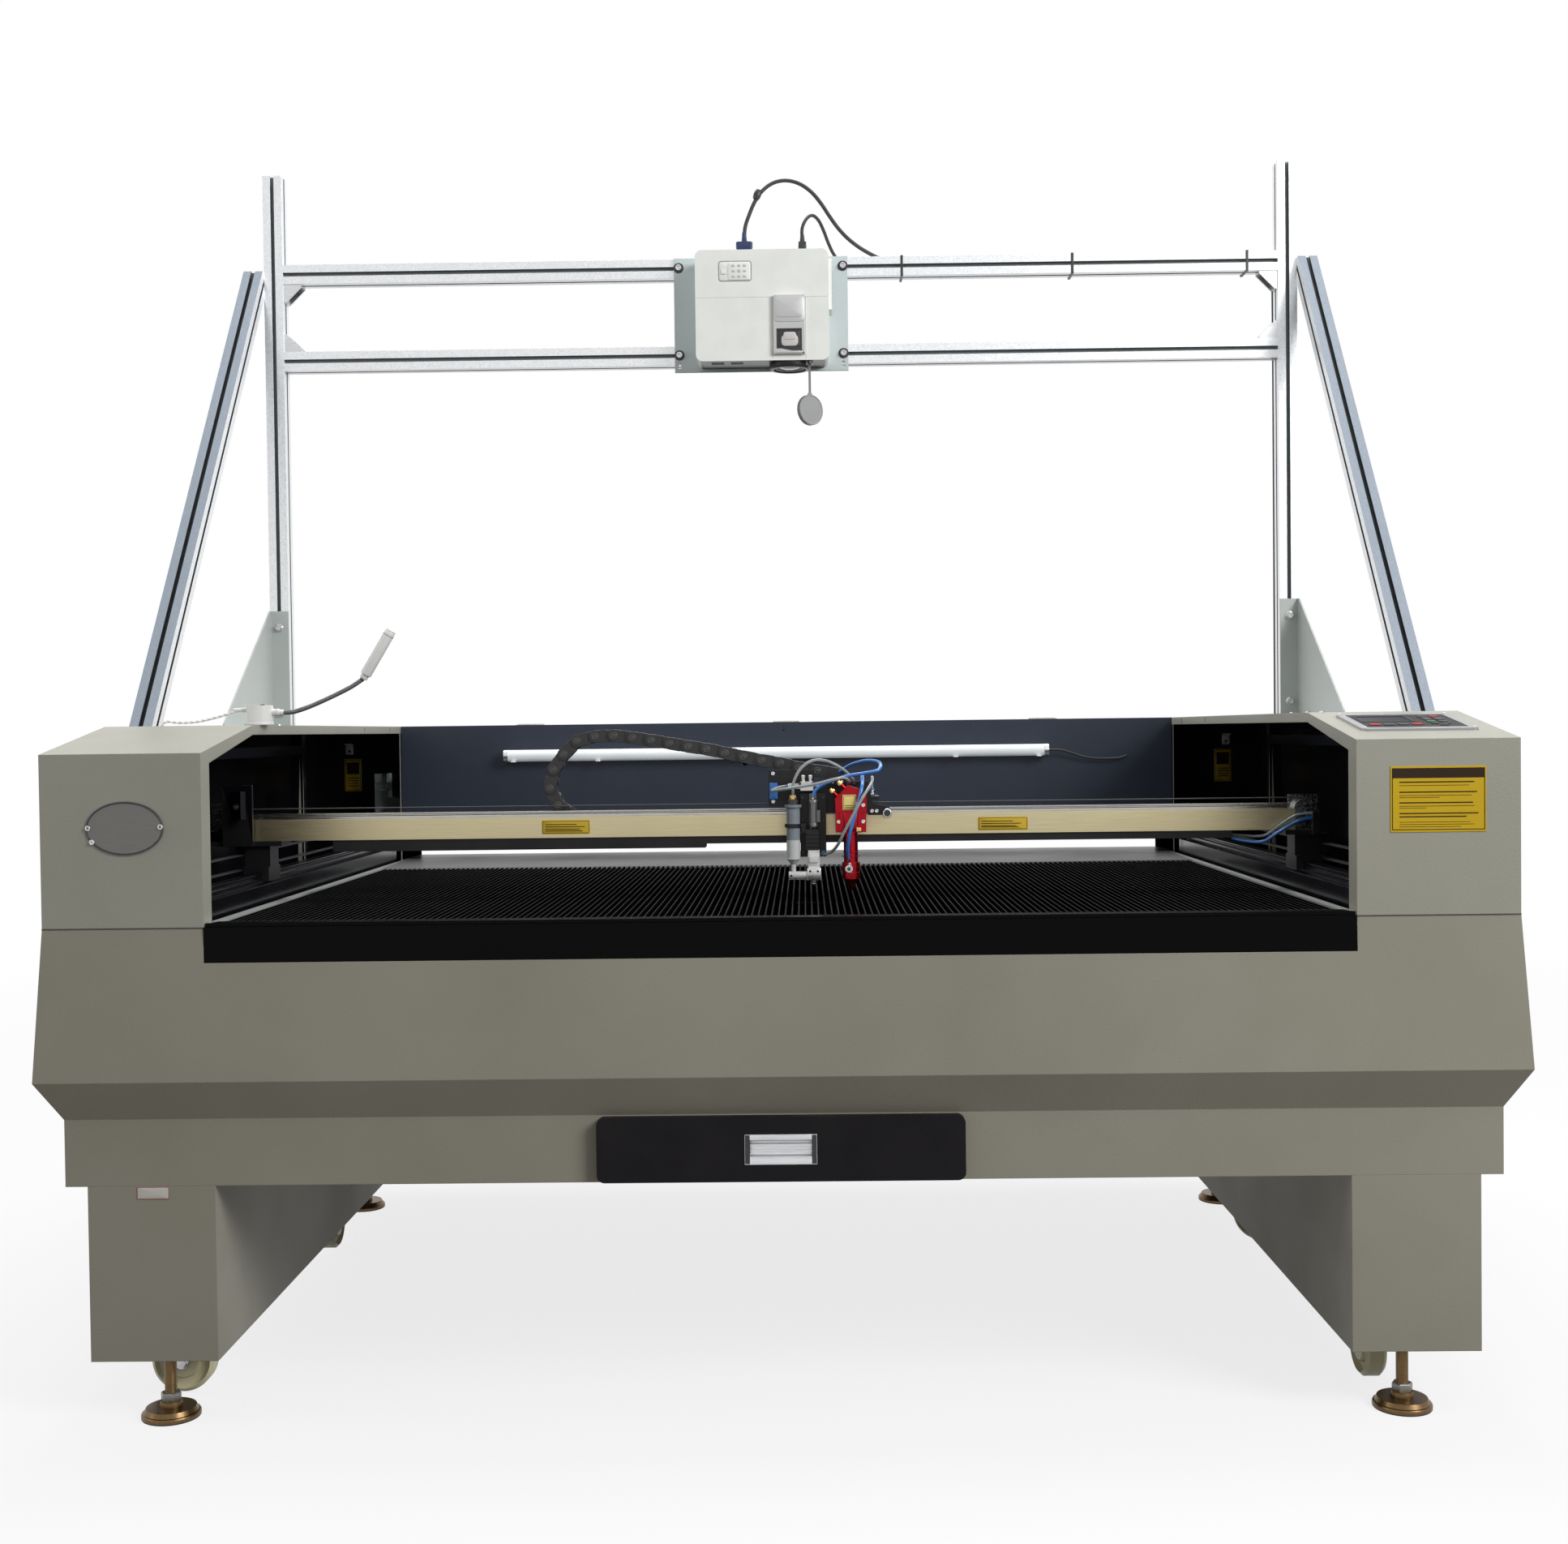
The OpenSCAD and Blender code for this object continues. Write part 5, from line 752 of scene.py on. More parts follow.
# %% Smooth curves and tubes
def smooth_path(points, count=80, relax=2):
    """A curve through points: cubic Hermite pieces whose slopes are half the way between the
    neighbours (Catmull and Rom), walked at count equal steps, then each inner point moved to the
    mean of its neighbours and itself relax times. The first and last stretch stay straight."""
    p = np.asarray(points, float)
    ends = np.vstack([2 * p[0] - p[1], p, 2 * p[-1] - p[-2]])
    t = np.linspace(0, 1, 24, endpoint=False)[None, :, None]
    a, b, c, d = (ends[k:len(ends) - 3 + k, None] for k in range(4))
    fine = 0.5 * (2 * b + (c - a) * t + (2 * a - 5 * b + 4 * c - d) * t ** 2
                  + (3 * b - a - 3 * c + d) * t ** 3)
    fine = np.vstack([fine.reshape(-1, 3), p[-1:]])
    walked = np.concatenate([[0], np.cumsum(np.linalg.norm(np.diff(fine, axis=0), axis=1))])
    even = np.linspace(0, walked[-1], count)
    curve = np.stack([np.interp(even, walked, fine[:, k]) for k in range(3)], -1)
    for _ in range(relax):
        curve[2:-2] = (curve[1:-3] + 2 * curve[2:-2] + curve[3:-1]) / 4
    return curve


def across(ahead, helper):
    """Two directions across each direction ahead: the helper with its part along it taken away,
    and the one square to both."""
    ahead /= np.linalg.norm(ahead, axis=1, keepdims=True)
    side = helper(ahead) - ahead * (ahead @ helper(ahead))[:, None]
    side /= np.linalg.norm(side, axis=1, keepdims=True)
    return side, np.cross(ahead, side)


def tube(path, radius, sides=14, twist=0.0, lobes=0.0):
    """A circle carried along path. Its first direction is kept from turning by removing, at each
    point, the part along the path. radius is a number or one per point; lobes makes the outline
    two-stranded, r (1 - lobes sin^2 a), turning twist radians along the whole path."""
    path = np.asarray(path, float)
    side, other = across(np.gradient(path, axis=0), lambda ahead: np.array(
        [0.31, 0.17, 0.93] if abs(ahead[:, 2]).mean() < 0.8 else [0.2, 0.97, 0.13]))
    a = around(sides)[None] + np.zeros((len(path), 1))
    turn = np.linspace(0, twist, len(path))[:, None]
    r = np.broadcast_to(np.asarray(radius, float).reshape(-1, 1), (len(path), sides)).copy()
    r *= 1 - lobes * np.sin(a) ** 2
    a = a + turn
    rings = path[:, None] + r[..., None] * (np.cos(a)[..., None] * side[:, None]
                                            + np.sin(a)[..., None] * other[:, None])
    return loft(rings)


def length_of(path):
    """Length along a path, in metres."""
    return float(np.linalg.norm(np.diff(path, axis=0), axis=1).sum()) * 0.001


def hose(name, route, diameter, finish, slot_name, body, far_end="object", stiffness="medium",
         lay="loose", node=None, count=120, **shape):
    """A cord along a smooth route, standing for its CAD node. The route is eased at 80
    points, then walked again at count points so that no straight pieces show."""
    path = smooth_path(smooth_path(route), count, 0)
    obj = piece(name, [(tube(path, diameter / 2, **shape), finish)], body, 80)
    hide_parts(node)
    print(name, "is", round(length_of(path), 3), "m long")
    return obj


# %% [markdown]
# Eleven cords show: five air hoses round the marking head and the laser head, two that cross from
# the beam to its right end, the two leads of the projector, which run along the upper crossbar and
# go down behind the right post, the light tube's lead, and the twisted lead of the work lamp.

# %% The cords
hose("video_lead_smooth",
     [[-70, 1066, 2063.3], [-70, 1066, 2080], [-62, 1070, 2118], [-40, 1076, 2168], [-18, 1082, 2192],
      [16, 1088, 2202], [56, 1096, 2191], [88, 1106, 2160], [108, 1118, 2125], [136, 1134, 2092],
      [180, 1156, 2064], [216, 1168, 2050], [240, 1168, 2040], [264, 1168, 2034], [300, 1168, 2032],
      [1020, 1168, 2026], [1056, 1168, 1996], [1060, 1168, 1960], [1060, 1168, 1072.3]],
     8, rubber, "rubber", "root", stiffness="stiff", node="video_lead", count=400)
hose("projector_lead_smooth",
     [[50, 1065, 2061.3], [50, 1065, 2076], [51, 1067, 2100], [58, 1074, 2126], [70, 1082, 2135],
      [82, 1092, 2129], [92, 1108, 2108], [101, 1132, 2083], [112, 1152, 2062], [124, 1170, 2044],
      [138, 1171, 2030], [160, 1169, 2020], [190, 1168, 2015], [260, 1168, 2014], [1010, 1168, 2010],
      [1040, 1168, 1988], [1046, 1168, 1960], [1046, 1168, 1072.3]],
     7, rubber, "rubber", "root", stiffness="stiff", node="projector_lead", count=400)
hose("light_lead_smooth",
     [[588.3, 1362, 1003], [600, 1362, 1003], [622, 1365, 1001], [680, 1370, 984], [738, 1372, 982],
      [756, 1373, 985], [764, 1377, 988], [766, 1382.4, 988.5]],
     5, rubber, "rubber", "root", lay="hanging", stiffness="limp", node="light_lead")
hose("lamp_lead_twisted",
     [[-898.4, 330, 1098], [-918, 330, 1095], [-950, 332, 1086], [-985, 334, 1079], [-1016, 334, 1078],
      [-1030, 334, 1080], [-1038, 334, 1079], [-1042, 334, 1075.5], [-1042.5, 334, 1072.2]],
     5, white_plastic, "white_plastic", "root", stiffness="limp", node="lamp_lead", twist=48.0, lobes=0.42)
hose("gantry_hose_smooth",
     [[777, 412, 858], [800, 404, 853], [826, 390, 853], [850, 385, 868], [880, 385, 885],
      [898, 385, 891], [908.4, 385, 892]],
     6, blue_tube, "blue_tube", "gantry", node="gantry_hose")
hose("second_gantry_hose",
     [[777.6, 424, 864.5], [800, 416, 862], [830, 397, 863], [856, 388, 882], [878, 384.5, 896],
      [896, 385, 900], [908.4, 385, 900.5]],
     5, clear_tube, "clear_tube", "gantry", node="gantry_hose")
hose("blue_hose_smooth",
     [[104, 455, 979], [124, 430, 992], [150, 400, 999], [170, 372, 996], [168, 350, 984],
      [146, 350, 979], [118, 352, 975], [94, 352, 968], [72, 349, 960], [60, 348, 950], [56, 348, 942],
      [56, 348, 935.3]],
     6, blue_tube, "blue_tube", "carriage", node="blue_hose")
hose("clear_hose_smooth",
     [[22, 340, 943.5], [24, 340, 966], [36, 344, 988], [56, 350, 1001], [80, 356, 1000], [104, 362, 988],
      [119, 371, 975], [126, 378, 966], [127, 386.8, 961]],
     5, clear_tube, "clear_tube", "carriage", node="clear_hose")
hose("side_loop_hose",
     [[14.4, 371, 957.5], [4, 371, 957], [-7, 364, 954], [-13, 352, 952], [-10, 336, 951], [2, 326, 953],
      [28, 322, 957], [60, 321, 962], [90, 322, 969], [107, 330, 972], [116, 346, 967], [118, 368, 962],
      [116, 386.8, 958]],
     5, clear_tube, "clear_tube", "carriage", node="clear_hose")
hose("slide_hose",
     [[158, 404, 950.6], [158, 404, 957], [157.5, 396, 967], [157, 380, 971], [157, 355, 971],
      [156, 332, 966], [150, 312, 956], [139, 298, 940], [124, 291, 914], [108, 291, 884],
      [97, 298, 862], [87, 315, 849], [78, 334, 844], [73, 348, 843], [73, 360.4, 843]],
     5, clear_tube, "clear_tube", "carriage", node="clear_hose")
air = hose("air_hose_smooth",
           [[143, 404, 950.6], [143, 404, 957], [142.5, 396, 969.5], [141, 380, 973], [140, 358, 972],
            [139.5, 336, 967], [139, 318, 961], [136, 309, 948], [131, 306, 929], [124, 304, 905],
            [117, 305, 880], [113, 311, 855], [114, 324.5, 835.5]],
           6, blue_tube, "blue_tube", None, node="air_hose")
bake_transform(air)

# %% [markdown]
# Plates, labels and seams
# ------------------------
# The thin things on the sheet metal are what makes it look assembled: the rim of the oval plate,
# drawn dark as a painted shadow round its edge, and its screws, the printed frame of the yellow
# plate, the dark joint under the housings. All are thin slabs, loops or screw heads laid on the
# solids.

# %% Closed loops, and the oval plate's rim
def loop(path, radius, sides=8):
    """A circle carried round a closed path, joined to its own start, so it needs no ends: rings
    at every point, quads from each ring to the next and from the last to the first."""
    path = np.asarray(path, float)
    side, other = across(np.roll(path, -1, 0) - np.roll(path, 1, 0), lambda ahead: np.array(
        [0.13, 0.96, 0.21] if np.ptp(path[:, 1]) < 1e-6 else [0.13, 0.21, 0.96]))
    a = around(sides)
    rings = path[:, None] + radius * (np.cos(a)[:, None] * side[:, None]
                                      + np.sin(a)[:, None] * other[:, None])
    n, m = rings.shape[:2]
    i, j = np.meshgrid(np.arange(n), np.arange(m), indexing="ij")
    i2, j2 = (i + 1) % n, (j + 1) % m
    quads = np.stack([i * m + j, i * m + j2, i2 * m + j2, i2 * m + j], -1).reshape(-1, 4)
    return rings.reshape(-1, 3), quads, np.zeros((0, 3), int)


def box(low, high):
    """A plain block between two corners: a slab without its rounding, for very thin things."""
    (a, b, c), (d, e, f) = low, high
    rings = [[(a, b, c), (d, b, c), (d, e, c), (a, e, c)], [(a, b, f), (d, b, f), (d, e, f), (a, e, f)]]
    return loft(rings)


turn = around(64)
oval_rim_shadow = np.stack([-987 + 57.6 * np.cos(turn), np.full(64, -1.5), 916 + 39.1 * np.sin(turn)], -1)
# painted shadow: a dark loop round the oval plate stands for the shadow along its rim
piece("oval_plate_rim_shadow", [(loop(oval_rim_shadow, 1.3), dark_steel)], "root")
piece("oval_plate_screws",
      screws(bright_steel, 4.2, 2.4, [(-1042, -1.4, 917), (-932, -1.4, 918), (-1036, -1.4, 896)]),
      "root")

# %% The yellow plates: frame, band and printed rows, without any letters
def framed(x0, x1, z0, z1, y, line=1.0):
    """Four thin bars that frame a plate, line wide, standing 0.2 mm off it."""
    return [box((x0, y - 0.2, z0), (x1, y, z0 + line)), box((x0, y - 0.2, z1 - line), (x1, y, z1)),
            box((x0, y - 0.2, z0 + line), (x0 + line, y, z1 - line)),
            box((x1 - line, y - 0.2, z0 + line), (x1, y, z1 - line))]


rows = [box((934, -1.2, z), (934 + w, -1, z + h)) for z, w, h in
        ((963, 112, 1.8), (958.5, 104, 0.7), (948, 116, 1.8), (943.5, 108, 0.7), (940.5, 60, 0.7),
         (932, 110, 1.8), (927.5, 112, 0.7), (924.5, 40, 0.7), (916, 118, 1.8), (911, 100, 1.8),
         (903.5, 106, 0.7), (900, 112, 0.7), (896.5, 92, 0.7))]
band = box((924, -1.25, 970), (1061, -1, 984))
piece("side_plate_print", all_in(print_brown, framed(923, 1062, 892, 985, -1, 1.2) + [band] + rows),
      "root")
small = []
y = 400                       # the beam's front face
for x0, x1, z0, z1 in ((-412, -329, 878.5, 902.5), (339.5, 425.5, 877, 900)):
    small += [(slab((x0, y - 0.4, z0), (x1, y, z1), 2, 0.1, 1), bright_plate)]
    small += all_in(print_brown, framed(x0 + 1.5, x1 - 1.5, z0 + 1.5, z1 - 1.5, y - 0.4, 0.6))
    small += [(box((x0 + 6, y - 0.6, z), (x0 + w, y - 0.4, z + 1.2)), print_brown)
              for z, w in ((z1 - 8, 60), (z1 - 12, 74), (z1 - 16, 66), (z0 + 5, 70))]
piece("beam_plates", small, "gantry")
print("plates: one oval, one large, two on the beam")

# %% [markdown]
# The housings rest on the lower body, and the joint shows as a thin dark line. A paper tag with a
# red edge hangs on at the top of the left pedestal; it is left blank.

# %% Seam under the housings, and the blank tag
seam = []
for s in (-1, 1):
    a, b = sorted((s * 870, s * 1116.2))
    seam += [box((a, -0.5, 762.9), (b, 0.5, 765.1)),
             box((min(s * 1115.5, s * 1116.25), -0.25, 763.4),
                 (max(s * 1115.5, s * 1116.25), 1559, 764.9))]
piece("housing_seam", all_in(joint_dark, seam), "root")
tag = [(slab((-986, 19.4, 347.5), (-937, 20, 366), 0.6, 0.1, 1), paper)]
tag += [(box((-986, 19.2, z), (-937, 19.4, z + 0.8)), tag_red) for z in (347.5, 365.2)]
tag += [(box((x, 19.2, 348.3), (x + 0.8, 19.4, 365.2)), tag_red) for x in (-986, -937.8)]
piece("blank_tag", tag, "root")

# %% [markdown]
# The drawer's pull is a bent aluminium strip in a recess with dark end cheeks: a rounded upper
# lip to hook the fingers behind, a hollow, and a lower step. That is one profile carried along X.

# %% The drawer's pull
def carried(profile, x0, x1):
    """A closed outline of (y, z) points carried straight along X."""
    p = np.asarray(profile, float)
    return loft([[(x, y, z) for y, z in p] for x in (x0, x1)])


t = np.linspace(0, math.pi, 7)
lip = [(5.5 + 3 * math.cos(a), 438 + 3 * math.sin(a)) for a in t]
inner = [(3.2, 433), (12, 430), (15.5, 424), (15.5, 414), (12, 409), (3.4, 407.5), (3.4, 403),
         (2.2, 400), (2.2, 397.4)]
outer = [(19.2, 397.4), (19.2, 439)]
cheek = [(2.4, 396.6), (19.4, 396.6), (19.4, 440.6), (2.4, 440.6)]
piece("drawer_pull", [(carried(lip + inner + outer, -47, 47), mill_metal),
                      (carried(cheek, -54.4, -47), dark_steel), (carried(cheek, 47, 54.4), dark_steel),
                      (slab((-54.6, 2.6, 439.4), (54.6, 6, 441.3), 0.8, 0.3, 0), mill_metal)],
      "drawer", 30)

# %% [markdown]
# The bed
# -------
# Each blade is ground to an edge, and only that edge and its front end catch the light; the rest
# is black. That light is painted on: every blade gets a hair-thin line along its top, paler than
# the blade, and a short one at its front end, both painted highlights, and one paler line runs
# along the front ends of all the blades.

# %% Painted highlights on the blades, and along the front of the bed
blades = 165
pitch = 10.3
lines = (np.arange(blades) - (blades - 1) / 2) * pitch
places = np.stack([lines, lines * 0, lines * 0], -1)
# painted highlight along each blade's top
top_highlights = copies(box((-0.3, 40, 769.9), (0.3, 1110, 770.15)), places)
# painted highlight at each blade's front end
end_highlights = copies(box((-0.8, 32, 769.9), (0.8, 37, 770.5)), places)
piece("blade_highlight_lines", [(top_highlights, blade_top_highlight), (end_highlights, blade_end_highlight)], "root")
# painted highlight: one paler line along the blades' front ends
piece("bed_front_highlight", [(box((-868, 27, 771), (868, 28.6, 771.3)), blade_end_highlight)], "root")

# %% [markdown]
# The cable carrier
# -----------------
# A cable carrier is a chain of equal links. Each has two side plates with a round eye at each
# end, one pair outside and one inside, and a bridge over and under the cables. The link is drawn
# once and then turned and moved to each place with one rotation per link, as whole arrays.

# %% One link, and where the links lie
def plate(outline, y0, y1, rim=0.5):
    """A flat plate in the X-Z plane from y0 to y1: the outline, drawn in a little towards its
    middle at both faces, which rounds the rim."""
    p = np.asarray(outline, float)
    mid = p.mean(0)
    inner = mid + (p - mid) * (1 - rim / np.linalg.norm(p - mid, axis=1, keepdims=True))
    rings = [[(x, y, z) for x, z in q] for q, y in ((inner, y0), (p, y0 + rim), (p, y1 - rim),
                                                    (inner, y1))]
    return loft(rings[::-1])


def eye_plate(r, x0, x1, left=True):
    """Outline of a link's side: a half circle of radius r round the eye, run out straight."""
    a = np.linspace(math.pi / 2, 3 * math.pi / 2, 11)
    sign, at = (1, x0) if left else (-1, x1)
    arc = np.stack([at + sign * r * np.cos(a), r * np.sin(a)], -1)
    end = x1 if left else x0
    flat = np.array([[end, arc[-1, 1]], [end, 0], [end, arc[0, 1]]])
    outline = np.vstack([arc, flat])
    return outline if left else outline[::-1]


link_parts = []
for s in (-1, 1):
    a, b = sorted((s * 12.5, s * 10.4))
    link_parts += [(plate(eye_plate(11, 0, 18.5), a, b), carrier_black)]
    a, b = sorted((s * 10.1, s * 8.1))
    link_parts += [(plate(eye_plate(10.5, 16.5, 33, False), a, b), carrier_black)]
    link_parts += [(lathe([(6.6, 0), (6.6, 0.5), (5.9, 0.9), (5.0, 0.9), (4.6, 0.4), (2.6, 0.4),
                           (2.2, 0.7), (0.05, 0.7)],
                          (0, s, 0), (0, s * 12.4, 0), 18), carrier_pin)]
for z in (-11, 9):
    link_parts += [(slab((12.5, -11, z), (19.5, 11, z + 2), 0.8, 0.4, 1), carrier_black)]

CARRIER_Y = 477.5             # middle of the carrier, behind the front faces
turns = np.radians([180] * 12 + [154, 142, 115, 78, 56, 44, 13, 2, -7, -9, -10, -10, -9,
                                 -12, -12, -12, -10, -14, -10, -10])
link_pitch = 33
steps = link_pitch * np.stack([np.cos(turns), np.sin(turns)], -1)
first_eye = [59, 891.3]
eyes = np.vstack([first_eye, first_eye + np.cumsum(steps, 0)])
share = np.concatenate([np.linspace(0, 0.5, 13), [0.5] * 4, np.linspace(0.5, 1, 16)])


def turned_link(k):
    """The link's parts turned to link k's heading and moved to its eye."""
    c, s = math.cos(turns[k]), math.sin(turns[k])
    turn_k = np.array([[c, 0, s], [0, 1, 0], [-s, 0, c]])
    move = np.array([eyes[k, 0], CARRIER_Y, eyes[k, 1]])
    return moved(link_parts, turn_k, move)


def eased(w):
    """The t at which 3 t^2 - 2 t^3 equals w."""
    return 0.5 - math.sin(math.asin(1 - 2 * w) / 3)


# %% [markdown]
# When the carriage moves, the run on the tray stays, the bend follows at half the speed, and the
# upper run goes all the way. Each link's share of that motion, from 0 at its fixed end to 1 at the
# carriage, is worked out below as the start and end of a line through its eyes, but it is not
# given to the link: every link is built as a fixed piece. Inside one link the share changes so
# little that the eased blend is nearly a straight line, and it is the same at the eye that two
# links share.

# %% The links, and each one's share of the carriage's motion, which is not used
for k in range(len(turns)):
    obj = piece("carrier_link_%02d" % (k + 1), turned_link(k), None, 40)
    a, b = spot([[eyes[k, 0], CARRIER_Y, eyes[k, 1]], [eyes[k + 1, 0], CARRIER_Y, eyes[k + 1, 1]]])
    t0, t1 = eased(share[k]), eased(share[k + 1])
    if abs(t1 - t0) < 1e-6:
        start, end = a + [0, -20 * t0, 0], a + [0, 20 * (1 - t0), 0]
    else:
        start = a - (b - a) * t0 / (t1 - t0)
        end = start + (b - a) / (t1 - t0)
    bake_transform(obj)
    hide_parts("cable_carrier")
print("carrier:", len(turns), "links; the last eye is at", np.round(eyes[-1], 1))

# %% [markdown]
# The marking head and the laser head
# -----------------------------------
# These two are the busiest part of the machine, small turned parts and fittings: knurled brass
# screws that tilt the mirror, push-in hose fittings with a coloured collar, a plate on the red
# block, and a thumb screw on the lens tube. Turned parts are a profile spun round an axis. A
# knurl is the same ring with a radius that swings up and down as it goes round.

# %% Knurled knobs and push-in fittings
def knurled(radius, height, at, axis, teeth=16, rim=0.7):
    """A knurled knob: radius r + 0.05 r cos(teeth a) on four rings, drawn in by rim at both ends."""
    a = around(teeth * 4)
    r = radius * (1 + 0.05 * np.cos(a * teeth))
    ring = np.stack([r * np.cos(a), r * np.sin(a), a * 0], -1)
    rings = [ring * [k, k, 1] + [0, 0, h] for k, h in
             ((1 - rim / radius, 0), (1, rim), (1, height - rim), (1 - rim / radius, height),
              (0.5, height), (0.46, height - 0.5))]
    points, quads, tris = turned_to(loft(rings), axis)
    return points + np.asarray(at, float), quads, tris


def fitting(at, axis, body, collar, r=4.6, height=9.0):
    """A push-in fitting: a hexagon foot, a turned body, and the collar that frees the hose."""
    at, axis = np.asarray(at, float), np.asarray(axis, float)
    return [(hexagon(r * 1.12, height * 0.35, at, axis), body),
            (lathe([(r, 0), (r, height * 0.4), (r * 0.9, height * 0.45)], axis,
                   at + axis * height * 0.33, 20), body),
            (lathe([(r * 0.86, 0), (r * 0.86, height * 0.16), (r * 0.76, height * 0.22),
                    (r * 0.66, height * 0.22)],
                   axis, at + axis * height * 0.76, 20), collar)]


parts = fitting((143, 404, 938.5), UP, bright_steel, blue_fitting, 4.7, 13)
parts += fitting((158, 404, 938.5), UP, bright_steel, blue_fitting, 4.7, 13)
parts += fitting((20, 371, 957.5), (-1, 0, 0), pale_metal, blue_fitting, 4.4, 8)
parts += fitting((71, 370, 959), (1, 0, 0), pale_metal, blue_fitting, 4.2, 7)
for x, z in ((40, 972), (52, 972)):
    parts += [(knurled(3.4, 5, (x, 370, z - 1), UP, 12), pale_metal)]
parts += screws(dark_steel, 2.4, 1.4, [(34, 358, 962), (56, 358, 962)], sides=16)
parts += screws(bright_steel, 3.4, 2.2, [(-12, 388, 931), (-12, 388, 979), (157, 388, 913), (165, 388, 913)],
                sides=18)
parts += [(lathe([(8, 0), (8, 3.2), (7.2, 4.2), (5.6, 4.2), (5.2, 3.0), (3.6, 3.0), (3.2, 4.8),
                  (0.05, 5.0)],
                 FORWARD, (183, 388, 909), 26), bright_steel)]
parts += [(slab((84, 379, 957), (112, 387.8, 971), 2, 0.8, 1), machine_black)]
parts += screws(bright_steel, 2.6, 1.6, [(90, 379, 964), (106, 379, 964)], sides=16)
parts += [(slab((-18, 372, 935), (-4, 387.8, 963), 2, 0.8, 1), blue_fitting)]
piece("head_fittings", parts, "carriage")

# %% Brass screws, plate and step on the laser head
parts = []
for d in (0, 13):
    at = np.array([97 + d, 332, 941 + d], float)
    axis = np.array([-1, 0, 1]) / math.sqrt(2)
    parts += [(knurled(4.6, 5, at + axis * 9, axis, 14), brass),
              (lathe([(3.2, 0), (3.2, 2.2), (2.6, 2.8)], axis, at + axis * 14, 18), brass)]
parts += [(slab((105.5, 316.2, 917.5), (128.5, 317.2, 943.5), 1.2, 0.3, 1), gold_plate)]
parts += all_in(print_brown, framed(107, 127, 919, 942, 316.2, 0.7))
parts += [(box((109, 316.0, z), (125, 316.2, z + 0.8)), print_brown) for z in (922, 925)]
parts += screws(bright_steel, 3.6, 2.8, [(99, 327.6, 898), (140, 327.6, 898), (140, 317.6, 926)], sides=18)
parts += [(slab((107, 312.5, 882), (131, 319, 915), 5, 1.5, 2), red_metal),
          (slab((128, 309, 881.5), (136, 318, 889), 1.5, 0.6, 1), brass)]
piece("laser_head_details", parts, "carriage")

# %% Thumb screw and rings of the lens tube
parts = [(knurled(6.6, 5, (115, 318.5, 819), FORWARD, 20), bright_steel),
         (lathe([(2.4, 0), (2.4, 1.8), (0.05, 2.2)], FORWARD, (115, 313.6, 819), 16), dark_steel)]
for z, r, w in ((846, 13.2, 1.6), (838.5, 15.5, 1.2), (811.5, 15.3, 1.2)):
    parts += [(lathe([(r - 0.5, 0), (r, w * 0.3), (r, w * 0.7), (r - 0.5, w)], UP, (119, 340, z), 36),
               red_metal)]
piece("lens_tube_details", parts, "focus")

# %% The marking valve and its syringe
parts = [(slab((46.2, 330.4, 823), (66.6, 349, 846), 4, 1.5, 2), white_plastic),
         (slab((48.5, 328.6, 829), (64, 332, 841), 2.5, 1, 1), white_plastic),
         (slab((44.6, 328.6, 799.6), (68.4, 351.4, 820.2), 2, 1, 2), pale_metal),
         (slab((13.6, 332.6, 800.6), (45.4, 347.4, 814.4), 2, 1, 0), pale_metal),
         (hexagon(6, 4.4, (56, 340, 794.6)), pale_metal),
         (lathe([(2.0, 0), (3.6, 2), (4.4, 5)], UP, (56, 340, 789.3), 20), bright_steel)]
parts += screws(dark_steel, 2.0, 1.2, [(50, 328.7, 815), (63, 328.7, 815), (18, 332.7, 807.5)], sides=14)
for z in (855, 862, 869, 876):
    parts += [(slab((42.6, 331.4, z), (65.6, 333, z + 3), 0.8, 0.3, 1), machine_black)]
piece("marking_valve_details", parts, "marker")
parts = []
for z, h in ((834.5, 1.6), (888.5, 1.2), (920, 2.4), (924, 3.2)):
    parts += [(lathe([(11.6, 0), (12.4, h * 0.3), (12.4, h * 0.7), (11.6, h)], UP, (22, 340, z), 32),
               clear_syringe)]
parts += [(slab((8, 334, 924.6), (36, 346, 927.2), 3, 0.6, 2), black_plastic),
          (hexagon(6.2, 5, (22, 340, 935)), brass),
          (knurled(5.2, 3.4, (22, 340, 939.6), UP, 14), brass)]
piece("syringe_rings", parts, "marker")
parts = [(lathe([(7.6, 0), (7.6, 5), (7, 6)], UP, (56, 348, z), 24), cylinder_grey) for z in (889.5, 929)]
parts += [(hexagon(3.6, 3, (56, 348, 935)), brass)]
parts += screws(dark_steel, 2.6, 1.6, [(x, 366, z) for z in (846, 900, 938) for x in (38, 74)], sides=16)
piece("marking_slide_details", parts, "carriage")

# %% [markdown]
# The projector
# -------------
# The projector hangs with its lens down and its top to the front. Its shell is white and its
# lines are fine: two seams, a panel of keys in a shallow recess, and a silver hood with a window
# through which the lens shows. Below, the lens ring is a set of nested turned rings.

# %% Keys, seams, hood and lens rings
LENS = (21, 1071.5, 1812)      # middle of the lens, at the shell's underside
parts = [(box((x, 1028.75, 1816), (x + 0.7, 1029.2, 1941)), seam_grey) for x in (-13.2, 54.4)]
parts += [(slab((-122.5, 1028.9, 1974.5), (-55.5, 1031, 2015.5), 5, 0.2, 1), seam_grey)]
parts += [(slab((-121, 1028.6, 1976), (-57, 1031, 2014), 4.4, 0.2, 1), pale_plastic)]
parts += [(slab((-103, 1027.4, 1977), (-58.5, 1029.4, 2013), 3.5, 0.6, 1), pale_plastic),
          (slab((-118, 1027.6, 1989), (-107, 1029.4, 1999), 2, 0.6, 1), pale_plastic),
          (slab((-118.5, 1028.3, 1988.5), (-106.5, 1029.2, 1999.5), 2.2, 0.2, 1), seam_grey)]
